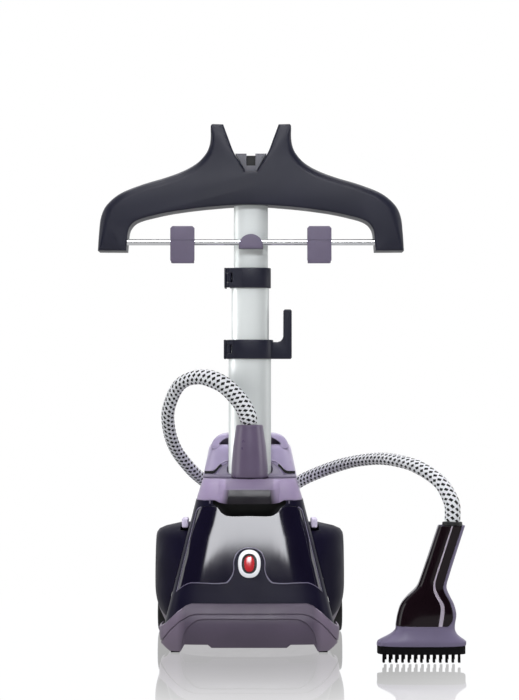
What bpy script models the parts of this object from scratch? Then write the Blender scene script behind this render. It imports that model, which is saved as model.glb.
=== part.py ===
"""A standing garment steamer: wheeled base, telescopic pole, valet hanger and steam handset.

Numbers in the functions are millimetres, measured from the pole's axis at floor level: +X to the
right, +Y to the rear, +Z up. The low-level makers turn them into metres, and one empty carries the
whole object, so that the middle of its footprint lies on the world's origin.
"""

import math

import bmesh
import bpy
from mathutils import Matrix, Vector

MM = 0.001

# Driving dimensions
POLE_AT = (-32.4, 42.0)  # the pole's axis, from the middle of the footprint
GAP = 0.4  # clearance between fixed neighbours
WALL = 2.8  # moulded shells
RING = 24  # points around a moulded section

LOWER_TUBE = (60.0, 34.0, 1.6)  # width, depth, wall of each oval tube
MIDDLE_TUBE = (53.0, 27.0, 1.5)
UPPER_TUBE = (48.0, 20.0, 1.4)
MIDDLE_X = 0.7  # the clamp levers press each inner tube to the right
UPPER_X = 1.6
LOWER_TUBE_Z = (42.0, 419.0)
MIDDLE_TUBE_Z = (60.0, 519.0)
UPPER_TUBE_Z = (80.0, 640.0)
LOWER_CLAMP_Z = (396.0, 421.0)
UPPER_CLAMP_Z = (496.0, 521.0)
LEVER_PIN = (-29.6, -12.5)
LEVER_PIN_RADIUS = 1.6
LUG_RADIUS = 3.6

SLOPE = 0.3125  # how far the front face comes forward for each unit that it drops
TILT = math.atan(SLOPE)
FRONT_TOP = (199.0, -84.0)  # height and Y of the front face's upper edge
SWITCH_Z = 115.7

CUFF_Y = -44.0
CUFF_Z = (228.8, 302.0)
HOSE_DIAMETER = 20.0

HANGER_DEPTH = 44.0
HANGER_WALL = 2.5
HANGER_SEAM = 0.2
ROD_AT = (-14.9, 558.0)  # Y, Z of the trouser rod
ROD_RADIUS = 4.4
CLIP_X = 96.0
CLIP_SIZE = (34.0, 54.0)

WHEEL_RADIUS = 28.0
WHEEL_Y = 90.0
WHEEL_X = (116.0, 133.5)
SEAT_Y = 62.0
TANK_RECESS_Y = 26.0
TRAY_SCREWS = ((-78, 40), (78, 40))

HANDSET_Y = -224.0
HANDSET_TILT = math.radians(18.8)
FERRULE_X = 261.0

# Plan sections of the base body: height, half width, front, back
HULL = (
    (10, 108, -100, 138),
    (16, 116, -105, 144),
    (25, 123, -109, 147),
    (38, 130.5, -112, 149.5),
    (52, 133.7, -112, 150),
    (75, 134.5, -109, 150),
    (115, 134, -95, 150),
    (140, 131.5, -76, 149),
    (152, 127.5, -66, 146),
    (158, 116, -52, 140),
    (165, 97, -36, 134),
)

# The hose's route: out of the cuff, a loop beside the pole, a sag behind the tank, and over to the handset
HOSE_ROUTE = (
    (0, -44, 302.4),
    (-3.5, -44, 316.5),
    (-14, -43, 335.5),
    (-38.5, -39, 359),
    (-69.5, -27, 368.4),
    (-98.4, -8, 358),
    (-115.2, 15, 324.5),
    (-116, 41, 294),
    (-107.8, 70, 265),
    (-90.3, 100, 238.3),
    (-73, 137, 219),
    (-42, 149, 197),
    (0, 151, 188),
    (40, 151, 194),
    (77, 141, 216.5),
    (99.3, 118, 228),
    (119.2, 88, 237.3),
    (139.2, 48, 245.5),
    (157.8, 0, 251.4),
    (179.8, -62, 255.7),
    (201, -122, 254.8),
    (224.6, -172, 247.3),
    (247.6, -206, 230),
    (259.9, -221, 207.2),
    (261.6, -224, 192),
    (261.0, -224, 181.6),
)

FINISHES = {
    "slate": ((0.026, 0.023, 0.048), 0.38, 0.0),
    "gloss_dark": ((0.008, 0.005, 0.014), 0.08, 0.0),
    "lavender": ((0.36, 0.29, 0.47), 0.3, 0.0),
    "mauve": ((0.115, 0.085, 0.13), 0.42, 0.0),
    "deck_grey": ((0.27, 0.24, 0.31), 0.4, 0.0),
    "aluminium": ((0.78, 0.8, 0.81), 0.3, 1.0),
    "chrome": ((0.9, 0.9, 0.9), 0.08, 1.0),
    "steel": ((0.55, 0.55, 0.56), 0.3, 1.0),
    "cast": ((0.5, 0.5, 0.5), 0.55, 1.0),
    "brass": ((0.7, 0.5, 0.2), 0.35, 1.0),
    "black": ((0.012, 0.012, 0.014), 0.6, 0.0),
    "rubber": ((0.02, 0.02, 0.022), 0.85, 0.0),
    "white": ((0.82, 0.82, 0.84), 0.25, 0.0),
    "red": ((0.55, 0.02, 0.02), 0.15, 0.0),
    "grey": ((0.2, 0.2, 0.22), 0.5, 0.0),
    "braid": ((0.75, 0.75, 0.77), 0.6, 0.0),
}


# ---------------------------------------------------------------- scene and makers


def new_collection(name):
    made = bpy.data.collections.new(name)
    bpy.context.scene.collection.children.link(made)
    return made


def finish_material(name):
    colour, roughness, metallic = FINISHES[name]
    material = bpy.data.materials.get(name) or bpy.data.materials.new(name)
    material.use_nodes = True
    shader = material.node_tree.nodes["Principled BSDF"]
    shader.inputs["Base Color"].default_value = (*colour, 1.0)
    shader.inputs["Roughness"].default_value = roughness
    shader.inputs["Metallic"].default_value = metallic
    return material


def place(name, mesh, collection, origin):
    """An object from a mesh in millimetres, with its origin at the point given."""
    mesh.transform(Matrix.Scale(MM, 4) @ Matrix.Translation(-Vector(origin)))
    obj = bpy.data.objects.new(name, mesh)
    collection.objects.link(obj)
    obj.parent = POLE
    obj.location = Vector(origin) * MM
    return obj


def part(name, mesh, finish, origin=(0, 0, 0), shift=0.0):
    mesh.transform(Matrix.Translation((shift, 0, 0)))
    obj = place(name, mesh, PARTS, (origin[0] + shift, origin[1], origin[2]))
    obj.data.materials.append(finish_material(finish))
    obj.data.shade_smooth()
    obj.data.set_sharp_from_angle(angle=math.radians(32))
    return obj


def to_mesh(bm):
    bmesh.ops.recalc_face_normals(bm, faces=bm.faces)
    mesh = bpy.data.meshes.new("shape")
    bm.to_mesh(mesh)
    bm.free()
    return mesh


def evaluated_mesh(data, modify=None):
    """The mesh that a curve, or a mesh with a modifier, makes."""
    helper = bpy.data.objects.new("helper", data)
    bpy.context.scene.collection.objects.link(helper)
    if modify:
        modify(helper)
    graph = bpy.context.evaluated_depsgraph_get()
    mesh = bpy.data.meshes.new_from_object(helper.evaluated_get(graph))
    bpy.data.objects.remove(helper, do_unlink=True)
    bm = bmesh.new()
    bm.from_mesh(mesh)
    bmesh.ops.remove_doubles(bm, verts=bm.verts, dist=0.0001)
    return to_mesh(bm)


def closed(mesh):
    bm = bmesh.new()
    bm.from_mesh(mesh)
    whole = all(edge.is_manifold for edge in bm.edges)
    bm.free()
    return whole


def carve(mesh, tool, operation="DIFFERENCE"):
    """One closed mesh cut by another, joined to it, or kept only where the other covers it."""
    pair = [bpy.data.objects.new("carved", mesh), bpy.data.objects.new("tool", tool)]
    for obj in pair:
        bpy.context.scene.collection.objects.link(obj)
    modifier = pair[0].modifiers.new("Boolean", "BOOLEAN")
    modifier.operation = operation
    modifier.object = pair[1]
    for solver in ("EXACT", "MANIFOLD"):
        modifier.solver = solver
        graph = bpy.context.evaluated_depsgraph_get()
        made = bpy.data.meshes.new_from_object(pair[0].evaluated_get(graph))
        if closed(made):
            break
    for obj in pair:
        bpy.data.objects.remove(obj, do_unlink=True)
    return made


def united(first, *others):
    for other in others:
        first = carve(first, other, "UNION")
    return first


def common(first, second):
    return carve(first, second, "INTERSECT")


# ---------------------------------------------------------------- shapes, in millimetres


def section(z, left, right, front, back, power, count=RING):
    """A rounded rectangle in plan: the higher the power, the squarer its corners."""
    middle_x, middle_y = (left + right) / 2, (front + back) / 2
    half_x, half_y = (right - left) / 2, (back - front) / 2
    points = []
    for i in range(count):
        angle = 2 * math.pi * i / count
        c, s = math.cos(angle), math.sin(angle)
        x = math.copysign(abs(c) ** (2 / power), c)
        y = math.copysign(abs(s) ** (2 / power), s)
        points.append((middle_x + half_x * x, middle_y + half_y * y, z))
    return points


def loft(rings):
    bm = bmesh.new()
    loops = [[bm.verts.new(point) for point in ring] for ring in rings]
    count = len(rings[0])
    for low, high in zip(loops, loops[1:]):
        for i in range(count):
            j = (i + 1) % count
            bm.faces.new((low[i], low[j], high[j], high[i]))
    bm.faces.new(loops[0][::-1])
    bm.faces.new(loops[-1])
    bmesh.ops.triangulate(bm, faces=bm.faces)
    return to_mesh(bm)


def body(rows, power, grow=0.0, count=RING):
    """A loft through plan sections given as height, left, right, front, back."""
    rings = []
    for z, left, right, front, back in rows:
        rings.append(section(z, left - grow, right + grow, front - grow, back + grow, power, count))
    return loft(rings)


def symmetric(rows):
    return [(z, -half, half, front, back) for z, half, front, back in rows]


def moved_ends(rows, bottom=0.0, top=0.0):
    """The same sections with the first and the last at another height."""
    rows = [list(row) for row in rows]
    rows[0][0] += bottom
    rows[-1][0] += top
    return rows


AXES = {
    "X": Matrix(((0, 0, 1, 0), (1, 0, 0, 0), (0, 1, 0, 0), (0, 0, 0, 1))),
    "Y": Matrix(((1, 0, 0, 0), (0, 0, -1, 0), (0, 1, 0, 0), (0, 0, 0, 1))),
    "Z": Matrix.Identity(4),
}
ALONG = {"X": Vector((1, 0, 0)), "Y": Vector((0, 1, 0)), "Z": Vector((0, 0, 1))}


def prism(outlines, low, high, axis="Y"):
    """Flat outlines, the first the outer one and the rest holes, extruded along an axis."""
    curve = bpy.data.curves.new("outline", "CURVE")
    curve.dimensions = "2D"
    curve.fill_mode = "BOTH"
    curve.extrude = (high - low) / 2
    for outline in outlines:
        spline = curve.splines.new("POLY")
        spline.points.add(len(outline) - 1)
        for point, (u, v) in zip(spline.points, outline):
            point.co = (u, v, 0, 1)
        spline.use_cyclic_u = True
    mesh = evaluated_mesh(curve)
    mesh.transform(Matrix.Translation(ALONG[axis] * (low + high) / 2) @ AXES[axis])
    return mesh


def mirrored(half):
    """An outline from its right half, listed from the middle of the top round to the bottom."""
    return list(half) + [(-u, v) for u, v in reversed(half) if u > 0]


def oval(width, depth, centre=(0, 0), count=20, power=2.35):
    """The pole's section: an oval a little squarer than an ellipse."""
    points = section(0, -width / 2, width / 2, -depth / 2, depth / 2, power, count)
    return [(x + centre[0], y + centre[1]) for x, y, _ in points]


def oval_tube(outer, wall, low, high):
    width, depth = outer
    hole = oval(width - 2 * wall, depth - 2 * wall)
    return prism([oval(width, depth), hole], low, high, "Z")


def box(low, high, bevel=0.0, segments=2):
    bm = bmesh.new()
    bmesh.ops.create_cube(bm, size=1.0)
    size = Vector(high) - Vector(low)
    middle = (Vector(high) + Vector(low)) / 2
    bmesh.ops.transform(bm, matrix=Matrix.Translation(middle) @ Matrix.Diagonal((*size, 1)), verts=bm.verts)
    if bevel:
        bmesh.ops.bevel(bm, geom=bm.edges, offset=bevel, segments=segments, profile=0.5, affect="EDGES")
    return to_mesh(bm)


def cylinder(start, end, radius, sides=20, end_radius=None):
    bm = bmesh.new()
    start, end = Vector(start), Vector(end)
    top = radius if end_radius is None else end_radius
    bmesh.ops.create_cone(
        bm, cap_ends=True, segments=sides, radius1=radius, radius2=top, depth=(end - start).length
    )
    turn = (end - start).to_track_quat("Z", "Y").to_matrix().to_4x4()
    bmesh.ops.transform(bm, matrix=Matrix.Translation((start + end) / 2) @ turn, verts=bm.verts)
    return to_mesh(bm)


def turned(profile, centre, axis="Z", steps=24):
    """A closed profile of radius and height, turned around an axis."""
    mesh = bpy.data.meshes.new("profile")
    count = len(profile)
    edges = [(i, (i + 1) % count) for i in range(count)]
    mesh.from_pydata([(radius, 0, height) for radius, height in profile], edges, [])

    def screw(helper):
        modifier = helper.modifiers.new("Screw", "SCREW")
        modifier.steps = steps
        modifier.render_steps = steps
        modifier.use_merge_vertices = True
        modifier.merge_threshold = 0.0001

    made = evaluated_mesh(mesh, screw)
    made.transform(Matrix.Translation(centre) @ AXES[axis])
    return made


def pipe(points, radius, resolution=2):
    curve = bpy.data.curves.new("pipe", "CURVE")
    fill_pipe(curve, points, radius, resolution)
    return evaluated_mesh(curve)


def fill_pipe(curve, points, radius, resolution):
    curve.dimensions = "3D"
    curve.bevel_depth = radius
    curve.bevel_resolution = resolution
    curve.use_fill_caps = True
    spline = curve.splines.new("POLY")
    spline.points.add(len(points) - 1)
    for point, co in zip(spline.points, points):
        point.co = (*co, 1)


def smooth_route(route, spacing):
    """Points read at even steps from a smooth curve through the route's own points."""
    ends = [2 * Vector(route[0]) - Vector(route[1]), 2 * Vector(route[-1]) - Vector(route[-2])]
    knots = [ends[0], *map(Vector, route), ends[1]]
    fine = []
    for before, a, b, after in zip(knots, knots[1:], knots[2:], knots[3:]):
        for step in range(20):
            t = step / 20
            turn = (b - before) * (t - 2 * t**2 + t**3) + (after - a) * (t**3 - t**2)
            fine.append(a * (1 - 3 * t**2 + 2 * t**3) + b * (3 * t**2 - 2 * t**3) + turn / 2)
    fine.append(knots[-2])
    lengths = [0.0]
    for a, b in zip(fine, fine[1:]):
        lengths.append(lengths[-1] + (b - a).length)
    count = round(lengths[-1] / spacing)
    points, at = [], 0
    for i in range(count + 1):
        want = lengths[-1] * i / count
        while at < len(lengths) - 2 and lengths[at + 1] < want:
            at += 1
        share = (want - lengths[at]) / (lengths[at + 1] - lengths[at])
        points.append(fine[at].lerp(fine[at + 1], share))
    return points


# ---------------------------------------------------------------- the base's outer shapes


def front_face_y(z):
    return FRONT_TOP[1] - (FRONT_TOP[0] - z) * SLOPE


def tower_half(z):
    """Half the width of the front tower at a height."""
    return 74 + (FRONT_TOP[0] - z) * 0.2484


def surround_rows(inset=0.0):
    """The front housing: a tower that leans back as it rises."""
    rows = []
    for z, back in ((36, -32), (66, -32), (110, -32), (150, -32), (168, 23), (199, 23)):
        half = tower_half(z)
        rows.append((z, -half + inset, half - inset, front_face_y(z) + inset, back))
    return rows


def front_housing_solid(inset=0.0, grow=0.0, back=0.0):
    rows = [(z, x0 - grow, x1 + grow, y0 - grow, y1 + back) for z, x0, x1, y0, y1 in surround_rows(inset)]
    return body(moved_ends(rows, -grow, grow), 5)


def arch_line(drop=0.0):
    """Right half of the line where the bumper's upper edge arches over the front."""
    return [(0, 65 - drop), (77, 65 - drop), (85, 62.2 - drop), (97, 53.3 - drop), (111.5, 39.5 - drop)]


def skirt_line(shift=0.0):
    """Side view of the seam between the tray and the rear housing, which rises over the wheels."""
    line = ((-85, 31), (-40, 48), (0, 62), (40, 71), (160, 73))
    return [(-122, 26), *[(y, z + shift) for y, z in line]]


def panel_outline(grow=0.0):
    """The gloss panel, with the finger scoop in its top and the switch's island in its bottom."""
    g = grow
    half = [
        (0, 178.8 + g),
        (29, 178.8 + g),
        (38, 183 + g),
        (45 - g, 191 + g),
        (66 + g, 191 + g),
        (71 + g, 188 + g),
        (73 + g, 184),
        (98.5 + g, 78 - g),
        (92, 84 - g),
        (84, 89 - g),
        (77, 90.8 - g),
        (32 - g, 90.8 - g),
        (24 - g, 98 - g),
        (20.5 - g, 108),
        (20.5 - g, 119),
        (16 - g, 130 - g),
        (8, 135.5 - g),
        (0, 136.5 - g),
    ]
    return mirrored(half)


# ---------------------------------------------------------------- base


def make_tray():
    rows = symmetric(HULL[:7])
    tray = body(rows, 3)
    inner = [(z, x0 + 3, x1 - 3, y0 + 3, y1 - 3) for z, x0, x1, y0, y1 in rows]
    tray = carve(tray, body(moved_ends([(13, *inner[0][1:]), *inner[1:]], 0, 20), 3))
    above = [(-170, 26), *skirt_line(-GAP / 2), (170, 73), (170, 160), (-170, 160)]
    tray = carve(tray, prism([above], -150, 150, "X"))
    tray = carve(tray, front_housing_solid(grow=GAP, back=-1))
    for side in (-1, 1):
        near, far = (Vector((side * x, WHEEL_Y, WHEEL_RADIUS)) for x in (113.5, 140))
        tray = carve(tray, cylinder(near, far, 31, 24))
        bracket = box((side * 104 - 3.5, WHEEL_Y - 9, 11), (side * 104 + 3.5, WHEEL_Y + 9, 38), 1.5, 1)
        tray = united(tray, bracket)
    tray = carve(tray, cylinder((-150, WHEEL_Y, WHEEL_RADIUS), (150, WHEEL_Y, WHEEL_RADIUS), 4 + GAP, 16))
    for x, y in TRAY_SCREWS:
        tray = carve(tray, cylinder((x, y, 5), (x, y, 20), 2.4, 10))
    tray = carve(tray, cylinder((0, 130, 60), (0, 165, 60), 7.5, 16))
    part("base_tray", tray, "mauve")


def make_screws():
    for name, (x, y) in zip(("tray_screw_left", "tray_screw_right"), TRAY_SCREWS):
        profile = [(0, 7.4), (3.8, 7.4), (3.8, 9.6), (1.9, 9.6), (1.9, 22), (0, 22)]
        part(name, turned(profile, (x, y, 0), steps=10), "steel")


def make_rear_housing():
    rows = symmetric(HULL[1:])
    inner = [(z, x0 + WALL, x1 - WALL, y0 + WALL, y1 - WALL) for z, x0, x1, y0, y1 in rows]
    housing = carve(body(rows, 3), body(moved_ends(inner, -4, -WALL), 3))
    below = [(-170, 26), *skirt_line(GAP / 2), (170, 73), (170, 0), (-170, 0)]
    housing = carve(housing, prism([below], -150, 150, "X"))
    housing = carve(housing, front_housing_solid(grow=GAP, back=1))
    beside = [(tower_half(z) + GAP, z) for z in (190, 8)]
    housing = carve(housing, prism([mirrored(beside)], -140, -30))
    hose_rest = box((-56, 133, 150), (56, 149, 176), 3, 1)
    housing = united(housing, hose_rest)
    housing = carve(housing, box((-85, 24.5, 120), (85, 131.6, 172)))
    housing = carve(housing, prism([oval(LOWER_TUBE[0] + 3, LOWER_TUBE[1] + 3)], 150, 180, "Z"))
    for side in (-1, 1):
        inside, outside = sorted((side * 84, side * 96.2))
        housing = carve(housing, box((inside, -49, 155.5), (outside, -17, 180)))
    part("rear_housing", housing, "slate")


def make_front_surround():
    inner = [(z, x0, x1, y0, y1 + 6) for z, x0, x1, y0, y1 in surround_rows(5.2)]
    surround = carve(front_housing_solid(), body(moved_ends(inner, -4, 4), 5))
    low = [(0, 59.5), (77, 59.5), (85, 57), (97, 47.5), (111.5, 33.5), (150, 33.5), (150, 20), (0, 20)]
    surround = carve(surround, prism([mirrored(low)], -160, 60))
    grown = [(z, x0 - 2, x1 + 2, y0 - 2, y1) for z, x0, x1, y0, y1 in surround_rows()]
    skin = carve(body(moved_ends(grown, -2, 2), 5), body(moved_ends(surround_rows(3.4), -6, 6), 5))
    surround = carve(surround, common(skin, prism([panel_outline(GAP)], -150, -60)))
    scoop = [(0, 178.4), (29, 178.4), (38, 182.6), (45, 190.6), (50, 195), (50, 205), (0, 205)]
    surround = carve(surround, prism([mirrored(scoop[::-1])], -150, -60))
    surround = carve(surround, along_switch(oval(17, 27, count=20), -14, 6))
    part("front_surround", surround, "slate")


def make_front_panel():
    skin = carve(front_housing_solid(), body(moved_ends(surround_rows(2.5), -6, 6), 5))
    part("front_panel", common(skin, prism([panel_outline()], -150, -60)), "gloss_dark")


def along_switch(outline, low, high):
    """An outline extruded square to the sloping front face; positive is outwards."""
    mesh = prism([outline], low, high, "Z")
    turn = Matrix.Rotation(math.pi / 2 - TILT, 4, "X")
    mesh.transform(Matrix.Translation((0, front_face_y(SWITCH_Z), SWITCH_Z)) @ turn)
    return mesh


def make_switch():
    at = (0, front_face_y(SWITCH_Z), SWITCH_Z)
    rim, hole = oval(31, 39.5, count=28), oval(19, 28.5)
    part("switch_ring", carve(along_switch(rim, 0.4, 3.0), along_switch(hole, -3, 8)), "white", at)
    button = part("power_button", along_switch(oval(14, 24, count=24), -8, 3.6), "red", at)
    edge = button.modifiers.new("Bevel", "BEVEL")
    edge.width = 0.0018
    edge.segments = 2
    edge.limit_method = "ANGLE"
    edge.angle_limit = math.radians(50)
    part("switch_body", along_switch([(-13, -17), (13, -17), (13, 17), (-13, 17)], -34, -11.6), "black")


def make_bumper():
    rows = (
        (0, -113, 113, -137, -58),
        (12, -119, 119, -143, -58),
        (30, -121, 121, -146, -58),
        (50, -119.5, 119.5, -142, -58),
        (66, -113, 113, -128.6, -58),
    )
    inner = [(z, x0 + 3, x1 - 3, y0 + 3, y1 + 9) for z, x0, x1, y0, y1 in rows]
    bumper = carve(body(rows, 4.2), body(moved_ends(inner, -4, 4), 4.2))
    edge = [*arch_line(), (123, 31), (124, 12), (116, 10), (106.3, 1.9), (91.4, 1.9), (86, 11.8)]
    edge += [(55, 11.8), (50, 7.5), (0, 7.5)]
    bumper = common(bumper, prism([mirrored(edge)], -160, -40))
    for side in (-1, 1):
        foot = box((side * 98.8 - 6.6, -130, 2.4), (side * 98.8 + 6.6, -113, 15), 1.0, 1)
        bumper = united(bumper, foot)
    bumper = carve(bumper, body(symmetric(HULL[:7]), 3, grow=GAP))
    bumper = carve(bumper, front_housing_solid(grow=GAP, back=20))
    part("front_bumper", bumper, "mauve")
    for name, side in (("foot_pad_left", -1), ("foot_pad_right", 1)):
        pad = box((side * 98.8 - 6, -129, 0), (side * 98.8 + 6, -114, 1.5), 0.4, 1)
        part(name, pad, "rubber")


def cowl_ring(z, half, front, nose, nose_half):
    """A plan section of the cowl: a rounded rectangle whose front is pushed out into a nose."""
    ring = []
    for x, y, _ in section(z, -half, half, front, 23, 7, 36):
        share = min(max((nose_half + 15 - abs(x)) / 15, 0), 1)
        step = share * share * (3 - 2 * share)
        ring.append((x, y - nose * step if y < -20 else y, z))
    return ring


def make_cowl():
    rows = (
        (195, 71, -78.5, 16.5, 31),
        (201, 72.6, -79, 15.5, 31),
        (214, 69, -76.5, 14, 30),
        (223, 66.2, -72.5, 6, 29),
        (228, 64.6, -68, 0, 29),
    )
    inner = [
        (190, -68, 68, -74, 40),
        (201, -69.6, 69.6, -75, 40),
        (214, -66, 66, -72.5, 40),
        (224.8, -62.6, 62.6, -66, 40),
    ]
    cowl = carve(loft([cowl_ring(*row) for row in rows]), body(inner, 7))
    low = [(0, 195.2), (33, 195.2), (40, 196), (47, 199.5), (150, 199.5), (150, 180), (0, 180)]
    cowl = carve(cowl, prism([mirrored(low)], -160, 60))
    cowl = carve(cowl, prism([oval(LOWER_TUBE[0] + 3, LOWER_TUBE[1] + 3)], 215, 240, "Z"))
    cowl = carve(cowl, cylinder((0, CUFF_Y, 218), (0, CUFF_Y, 240), 7, 16))
    cowl = carve(cowl, cylinder((0, CUFF_Y, 226.2), (0, CUFF_Y, 240), 24.4, 28))
    part("front_cowl", cowl, "lavender")


COLLAR = (
    (229.6, 48.5, -22, 22.6),
    (232.8, 45.8, -12, 22.6),
    (237.6, 42.4, -4, 22.6),
    (241.4, 39.6, 2, 22.6),
    (245.2, 35.7, 9, 22.6),
    (247.6, 31.5, 14, 22.6),
    (249, 26, 18, 22.2),
)


def make_deck():
    plate = [(228.4, -65.2, 65.2, -46, 23), (230.2, -65.2, 65.2, -46, 23), (230.9, -64.4, 64.4, -45.3, 22.4)]
    deck = united(body(plate, 7), body(symmetric(COLLAR), 3))
    deck = carve(deck, prism([oval(LOWER_TUBE[0] + 5, LOWER_TUBE[1] + 3)], 220, 260, "Z"))
    deck = carve(deck, cylinder((0, CUFF_Y, 220), (0, CUFF_Y, 260), 25.8, 28))
    part("pole_deck", deck, "deck_grey")


def make_cuff():
    profile = [
        (23.5, 0),
        (25, 1.5),
        (25.2, 12),
        (24.3, 26),
        (22.6, 44),
        (19.4, 66),
        (18.6, 72),
        (17.4, 73.2),
        (11.5, 73.2),
        (11.5, 70),
        (8, 68),
        (8, 0),
    ]
    part("hose_cuff", turned(profile, (0, CUFF_Y, CUFF_Z[0])), "lavender")
    seal = [(9, 226.6), (9, 228.4), (23.6, 228.4), (23.6, 226.6)]
    part("cuff_seal", turned(seal, (0, CUFF_Y, 0)), "black")


def make_body_clips():
    for name, side in (("body_clip_left", -1), ("body_clip_right", 1)):
        inside, outside = sorted((side * 85.4, side * 95.8))
        part(name, box((inside, -48, 156), (outside, -18, 173), 2.5, 2), "lavender")


def make_wheels():
    part("rear_axle", cylinder((-131, WHEEL_Y, WHEEL_RADIUS), (131, WHEEL_Y, WHEEL_RADIUS), 4, 16), "steel")
    for name, side in (("wheel_left", -1), ("wheel_right", 1)):
        near, far = (side * x for x in WHEEL_X)
        r = WHEEL_RADIUS
        profile = [
            (4.4, near),
            (20, near),
            (r - 1.5, near),
            (r, near + side * 2),
            (r, far - side * 3.5),
            (r - 2.5, far - side * 0.6),
            (r - 6, far),
            (21, far),
            (20, far - side * 3),
            (9, far - side * 3),
            (8, far - side * 0.5),
            (4.4, far - side * 0.5),
        ]
        centre = (0, WHEEL_Y, WHEEL_RADIUS)
        wheel = turned(profile, centre, "X", 24)
        part(name, wheel, "black", ((near + far) / 2, WHEEL_Y, WHEEL_RADIUS))


# ---------------------------------------------------------------- inside the base


def make_boiler():
    block = box((-52, -94, 26), (52, -36, 62), 3, 1)
    legs = [box((x - 7, -75, 13.4), (x + 7, -55, 27)) for x in (-34, 34)]
    part("boiler", united(block, *legs), "cast")
    part("boiler_lid", box((-50, -92, 62.4), (50, -38, 68.4), 1.5, 1), "cast")
    profile = [(0, 68.8), (9, 68.8), (9, 76), (4, 76), (4, 80), (0, 80)]
    part("thermostat", turned(profile, (-30, -62, 0), steps=14), "brass")
    route = [(0, -60, 68.9), (0, -60, 110), (0, -52, 180), (0, CUFF_Y, 214), (0, CUFF_Y, 226)]
    part("steam_pipe", pipe(smooth_route(route, 12), 5, 2), "steel")


def make_water_path():
    seat = [(0, 13.4), (19, 13.4), (19, 62), (15, 66), (15, 90)]
    seat += [(12, 90), (12, 68), (3, 66), (3, 78), (0, 78)]
    part("tank_seat", turned(seat, (0, SEAT_Y, 0), steps=20), "black")
    route = [(-20, SEAT_Y, 34), (-30, SEAT_Y, 34), (-46, 40, 34), (-50, 0, 34)]
    route += [(-42, -24, 44), (-42, -35.2, 44)]
    part("water_tube", pipe(smooth_route(route, 10), 4, 1), "white")


def make_pole_socket():
    bore = prism([oval(LOWER_TUBE[0] + 0.8, LOWER_TUBE[1] + 0.8)], 41.6, 90, "Z")
    part("pole_socket", carve(prism([oval(70, 44)], 13.4, 78, "Z"), bore), "black")


def make_cord_gland():
    profile = [(4, -14), (10, -14), (10, -4), (7, -3), (7, 4), (9, 4.6), (9, 7), (6, 16), (4, 16)]
    part("cord_gland", turned(profile, (0, 149, 60), "Y", 16), "black")


# ---------------------------------------------------------------- tank


def tank_rows(inset=0.0):
    rows = (
        (100, 70, 34, 124),
        (150, 80, 29, 130.6),
        (170, 80, 29, 130.6),
        (195, 74, 28, 129.5),
        (228, 67, 24.2, 127),
        (239, 65, 24, 125.5),
        (262, 60.2, 24, 121),
        (268.5, 58.7, 24.6, 118),
        (272, 56.4, 27, 115),
    )
    return [(z, -half + inset, half - inset, front + inset, back - inset) for z, half, front, back in rows]


TANK_WAVE = (
    (0, 251),
    (22, 251),
    (33, 249.8),
    (39.5, 247),
    (44, 243.4),
    (48, 238.8),
    (52, 236.2),
    (57, 235.6),
    (90, 235.6),
    (90, 190),
)


def make_tank():
    arch = [(0, 288.6), (30, 288.6), (38, 287.8), (44.5, 285.5), (50.5, 281), (54, 275.5), (56, 268)]
    arch.append((0, 262))
    tank = united(body(tank_rows(), 4.5), prism([mirrored(arch)], 26, 98))
    pocket = [(0, 284), (26, 284), (35, 281), (42, 276), (44, 272.6), (0, 272.6)]
    tank = carve(tank, prism([mirrored(pocket)], 15, 60))
    tank = carve(tank, prism([mirrored(TANK_WAVE)], 10, TANK_RECESS_Y))
    neck = cylinder((0, SEAT_Y, 92.5), (0, SEAT_Y, 101), 20, 24)
    tank = united(tank, neck)
    tank = carve(tank, cylinder((0, SEAT_Y, 90), (0, SEAT_Y, 106), 16.4, 24))
    rows = moved_ends(tank_rows(WALL)[:-1], WALL, -1)
    inner = [(z, left, right, max(front, TANK_RECESS_Y + WALL), back) for z, left, right, front, back in rows]
    part("water_tank", carve(tank, body(inner, 4.5)), "lavender")


def make_tank_valve():
    ring = [(3.4, 92.6), (16, 92.6), (16, 102), (13, 102), (13, 95.6), (3.4, 95.6)]
    part("tank_cap", turned(ring, (0, SEAT_Y, 0), steps=20), "black")
    stem = [(0, 79), (2.6, 79), (2.6, 96), (8, 96), (8, 98), (2.2, 98), (2.2, 112), (0, 112)]
    part("tank_valve", turned(stem, (0, SEAT_Y, 0), steps=14), "white")
    turns, height, points = 4, 11.0, []
    for i in range(turns * 9 + 1):
        angle = 2 * math.pi * i / 9
        rise = height * i / (turns * 9)
        points.append((4.6 * math.cos(angle), SEAT_Y + 4.6 * math.sin(angle), 99.2 + rise))
    part("valve_spring", pipe(points, 0.6, 0), "steel")


# ---------------------------------------------------------------- pole


def make_tubes():
    for name, (width, depth, wall), (low, high), shift in (
        ("lower_tube", LOWER_TUBE, LOWER_TUBE_Z, 0),
        ("middle_tube", MIDDLE_TUBE, MIDDLE_TUBE_Z, MIDDLE_X),
        ("upper_tube", UPPER_TUBE, UPPER_TUBE_Z, UPPER_X),
    ):
        part(name, oval_tube((width, depth), wall, low, high), "aluminium", (0, 0, low), shift)
    bore = [(u + MIDDLE_X, v) for u, v in oval(MIDDLE_TUBE[0] + 0.6, MIDDLE_TUBE[1] + 0.7)]
    part("middle_tube_bush", prism([oval(56.2, 30.2), bore], 62, 92, "Z"), "white", (0, 0, 62))


def pin_hole(low, high):
    return cylinder((*LEVER_PIN, low - 5), (*LEVER_PIN, high + 5), LEVER_PIN_RADIUS + 0.3, 12)


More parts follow.
